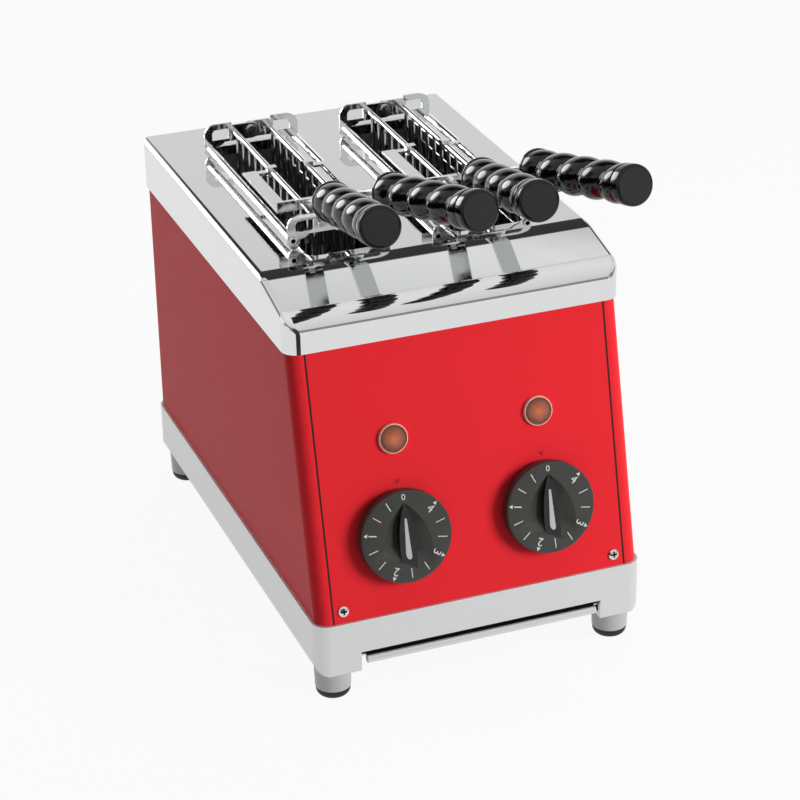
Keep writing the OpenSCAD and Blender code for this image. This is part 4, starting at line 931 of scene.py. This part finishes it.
def scoop_cutter(sign):
    points, top = [], []
    for i in range(STEPS + 1):
        s = i / STEPS
        y = SCOOP_START + (TAIL[sign] - SCOOP_START) * s
        inner, outer = pointer_half(y), max(scoop_half(y), pointer_half(y) + 0.3)
        depth = SCOOP_DEPTH * (0.25 + 0.75 * ease(s / 0.35)) * (1 - 0.93 * ease((s - 0.72) / 0.28))
        for k in range(ACROSS + 1):
            t = k / ACROSS
            x = sign * (inner + (outer - inner) * t)
            points.append((x, y, KNOB_FACE + 0.02 - (depth + 0.02) * (1 - t ** 1.7)))
            top.append((x, y, KNOB_FACE + 3))
    row, total = ACROSS + 1, len(points)
    starts = [base + i * row + k for base in (0, total) for i in range(STEPS) for k in range(ACROSS)]
    faces = [(at, at + 1, at + row + 1, at + row) for at in starts]
    rim = list(range(row)) + [i * row + ACROSS for i in range(1, STEPS + 1)]
    rim += [STEPS * row + k for k in range(ACROSS - 1, -1, -1)] + [i * row for i in range(STEPS - 1, 0, -1)]
    faces += [(a, b, total + b, total + a) for a, b in zip(rim, rim[1:] + rim[:1])]
    return mesh_of(points + top, faces)


disc_side = [(0, KNOB_LOW), (KNOB_R - KNOB_FOOT, KNOB_LOW)]
disc_side += arc((KNOB_R - KNOB_FOOT, KNOB_LOW + KNOB_FOOT), KNOB_FOOT, -90, 0, 4)
disc_side += arc((KNOB_R - KNOB_RIM, KNOB_FACE - KNOB_RIM), KNOB_RIM, 0, 90, 6) + [(0, KNOB_FACE)]
disc = carved(mesh_of(*lathe(disc_side, KNOB_AROUND)), [scoop_cutter(sign) for sign in TAIL])
print("knob disc:", len(disc.polygons), "faces")

# %% [markdown]
# What stands between the scoops is the pointer. It is glossier than the disc and carries a silver foil.
# Both are flat on top, so outlines drawn upward are enough.

# %% Pointer and foil
POINTER_STEPS, POINTER_SKIN, POINTER_PROUD = 40, 0.06, 0.12
FOIL = [(-0.7, 12.0), (0.7, 12.0), (1.9, -12.6), (1.6, -13.8), (0.9, -14.5), (-0.5, -14.0), (-1.5, -12.6),
        (-1.9, -10.5)]
heights = [POINTER_TIP - (POINTER_TIP - TAIL[1]) * i / POINTER_STEPS for i in range(POINTER_STEPS + 1)]
right_edge = [(pointer_half(y) + POINTER_SKIN, y) for y in heights]
left_edge = [(-pointer_half(y) - POINTER_SKIN, y) for y in heights if y > TAIL[-1] - 0.4]
pointer = prism(right_edge + left_edge[::-1], KNOB_FACE - SCOOP_DEPTH, KNOB_FACE + POINTER_PROUD)
foil = prism(FOIL, KNOB_FACE - 0.8, KNOB_FACE + 0.3)
print("pointer:", round(POINTER_TIP - TAIL[1], 1), "mm long")

# %% [markdown]
# The dial is printed on the knob in white. It could be painted by the finish, but thin solid ink keeps
# crisp edges. Thirteen places stand 26 degrees apart. Every third one has a number with an arrowhead at
# the rim, and a tree of geometry nodes sets a tick at each of the others.

# %% Ticks of the dial
STEP = math.radians(26)
TICKS = {"Places": 13, "Every": 3, "Step": STEP, "Reach": 23.3 * MM, "Long": 6.2 * MM, "Wide": 0.55 * MM,
         "Thick": 0.1 * MM}
tick_tree, size = growing("dial_ticks", TICKS)
tree = tick_tree
line = add(tree, "GeometryNodeMeshLine", {"Count": size["Places"]})
index = add(tree, "GeometryNodeInputIndex")
turn = add(tree, "MULTIPLY", [index, size["Step"]])
from_top = add(tree, "ADD", [turn, math.pi / 2])
spot = add(tree, "ShaderNodeCombineXYZ", circling(tree, size["Reach"], from_top))
placed = add(tree, "GeometryNodeSetPosition", {"Geometry": line, "Position": spot})
bar = add(tree, "GeometryNodeMeshCube", {
    "Size": add(tree, "ShaderNodeCombineXYZ", [size["Wide"], size["Long"], size["Thick"]])})
between = add(tree, "MODULO", [index, size["Every"]])
ticks = add(tree, "GeometryNodeInstanceOnPoints", {
    "Points": placed, "Selection": add(tree, "GREATER_THAN", [between, 0.5]),
    "Instance": bar, "Rotation": add(tree, "ShaderNodeCombineXYZ", {2: turn})})
ended(tree, ticks, dial_white)
print("places on the dial:", TICKS["Places"])


# %% [markdown]
# The numbers are plain text made into meshes, turned with the dial, the nought smaller and nearer to the
# rim. Then the whole knob is copied to both shafts, each copy riding on its own knob's body. The index
# mark above it is printed on the panel, so it stays behind when the knob turns.

# %% Timer knobs
INK, INK_LIFT = 0.05, 0.03
NOUGHT_HIGH, NOUGHT_OUT, FIGURE_HIGH, FIGURE_OUT = 5.4, 25.4, 7.6, 22.4
ARROW = [(-1.3, 26.2), (1.3, 26.2), (0, 28.6)]
MARK = [(-2.0, 35.0), (-1.1, 35.0), (0, 33.2), (1.1, 35.0), (2.0, 35.0), (0, 31.8)]


def figure(digit, high):
    curve = bpy.data.curves.new("figure", "FONT")
    curve.body = digit
    curve.size = high * MM
    curve.align_x, curve.align_y = "CENTER", "CENTER"
    curve.extrude = INK * MM
    return taken(linked("figure", curve))


printed = [grown(tick_tree, TICKS)]
for number in range(5):
    turn = Matrix.Rotation(3 * number * STEP, 4, "Z")
    high, out = (FIGURE_HIGH, FIGURE_OUT) if number else (NOUGHT_HIGH, NOUGHT_OUT)
    mesh = figure(str(number), high)
    mesh.transform(turn @ Matrix.Translation((0, out * MM, 0)))
    printed.append(mesh)
    if number:
        printed.append(prism(ARROW, -INK, INK, turn))
dial = joined(printed)
dial.transform(Matrix.Translation((0, 0, (KNOB_FACE + INK_LIFT) * MM)))

knob_place = {side: Matrix.Translation(joints[f"{side}_knob_turn"]["pos_m"]) @ panel_turn for side in SIDES}
for side, place in knob_place.items():
    for name, mesh, slot, material, replaced in (
            ("disc", disc, "dark_plastic", charcoal, [f"knob_{side}"]),
            ("pointer", pointer, "dark_plastic", gloss_black, []),
            ("foil", foil, "silver_inlay", silver_foil, [f"knob_inlay_{side}"]),
            ("dial", dial, "pale_plastic", dial_white, [])):
        copy = mesh.copy()
        copy.transform(place)
        set_piece(f"{side}_knob_{name}", copy, f"knob_{side}", [material], replaced)
    mark = prism(MARK, -0.02, 0.06, place)
    set_piece(f"{side}_index_mark", mark, "toaster_body", [index_red])
print("print faces:", len(dial.polygons))

# %% [markdown]
# The lamps have fluted amber lenses. Real glass over a dark lamp would need many light paths to look
# right, so the lens is opaque and its colour does the work. It is a shallow dome whose outer band is
# ribbed: a lathe profile with a ripple that fades toward the middle. Each point keeps its distance from
# the middle, and the finish reads that to paint the light through the lens, warm orange in the centre and
# brown at the ribs.

# %% Amber lenses
LENS_R, LENS_LOW, LENS_EDGE, LENS_TOP, LENS_STEPS = 7.85, -1.0, 1.9, 3.0, 10
RIBS, RIB_DEEP, LENS_SINK, LAMP_RISE = 24, 0.28, 0.15, 61.0
# Moulded amber plastic under a clear coat, with painted light through it: orange in the middle, browner
# outward.
amber = finish("fluted_amber_lens", "#c9673a", 0.16, grain=3, mottle=0.05, height=0.003, Coat_Weight=0.2)
tree = amber.node_tree
reach = add(tree, "ShaderNodeAttribute", attribute_name="reach").outputs["Fac"]
glow = add(tree, "ShaderNodeValToRGB", [reach])
glow.color_ramp.elements[0].color = linear("#d4653a")
glow.color_ramp.elements[1].color = linear("#70402c")
glow.color_ramp.elements.new(0.4).color = linear("#a95a38")
tree.links.new(glow.outputs[0], tree.nodes["Principled BSDF"].inputs["Base Color"])

dome = [math.pi / 2 * i / LENS_STEPS for i in range(1, LENS_STEPS + 1)]
lens_side = [(LENS_R, LENS_LOW), (LENS_R, LENS_EDGE)]
lens_side += [(LENS_R * math.cos(a), LENS_EDGE + (LENS_TOP - LENS_EDGE) * math.sin(a)) for a in dome]
points, faces = lathe(lens_side, RIBS * 6)
ribbed = []
for x, y, z in points:
    fade = ease((math.hypot(x, y) / LENS_R - 0.45) / 0.4) if z > LENS_EDGE - 0.1 else 0
    ribbed.append((x, y, z + RIB_DEEP * fade * math.cos(RIBS * math.atan2(y, x)) - LENS_SINK))
lamp_place = [knob_place[side] @ Matrix.Translation((0, LAMP_RISE * MM, 0)) for side in SIDES]
for side, place in zip(SIDES, lamp_place):
    lens = mesh_of(ribbed, faces)
    reach = lens.attributes.new("reach", "FLOAT", "POINT")
    for vertex in lens.vertices:
        reach.data[vertex.index].value = min(math.hypot(vertex.co.x, vertex.co.y) / (LENS_R * MM), 1.0)
    lens.transform(place)
    set_piece(f"{side}_fluted_lens", lens, "toaster_body", [amber], [f"lamp_lens_{side}"],
              smooth=60)
print("lens ribs:", RIBS)

# %% [markdown]
# Round each lens stands a clear ring with a rolled outer edge. Its inner slope shows the brown of the
# lens through it, so only the edge reads as a thin pale circle. Clear plastic would need the same many
# light paths, so the two sides take two finishes. Both are turned on the lathe, as one piece for the two
# lamps.

# %% Lamp rings
RING_R, RING_H, RING_ROLL, RING_BORE, RING_DIP = 9.5, 2.2, 0.7, 7.95, 0.5
TUBE_R, TUBE_BACK, RING_AROUND = 8.5, -10.0, 64
# The inside of the ring: the brown of the lens, as the plastic carries it up.
inner_brown = finish("brown_seen_through_ring", "#8e4c3b", 0.22, grain=3, mottle=0.05, height=0.002)
outer_side = [(TUBE_R, TUBE_BACK), (TUBE_R, 0), (RING_R, 0)]
outer_side += arc((RING_R - RING_ROLL, RING_H - RING_ROLL), RING_ROLL, 0, 90, 6)
inner_side = [(RING_R - RING_ROLL, RING_H), (RING_BORE, RING_H - RING_DIP), (RING_BORE, TUBE_BACK),
              (TUBE_R, TUBE_BACK)]
rings = [mesh_of(*lathe(profile, RING_AROUND), place)
         for place in lamp_place for profile in (outer_side, inner_side)]
whole = joined(rings)
set_piece("clear_lamp_rings", whole, "toaster_body", [bezel_clear, inner_brown],
          ["lamp_bezels"])
sides = [index % 2 for index, mesh in enumerate(rings) for _ in mesh.polygons]
for polygon, side in zip(whole.polygons, sides):
    polygon.material_index = side
print("ring faces:", len(whole.polygons))
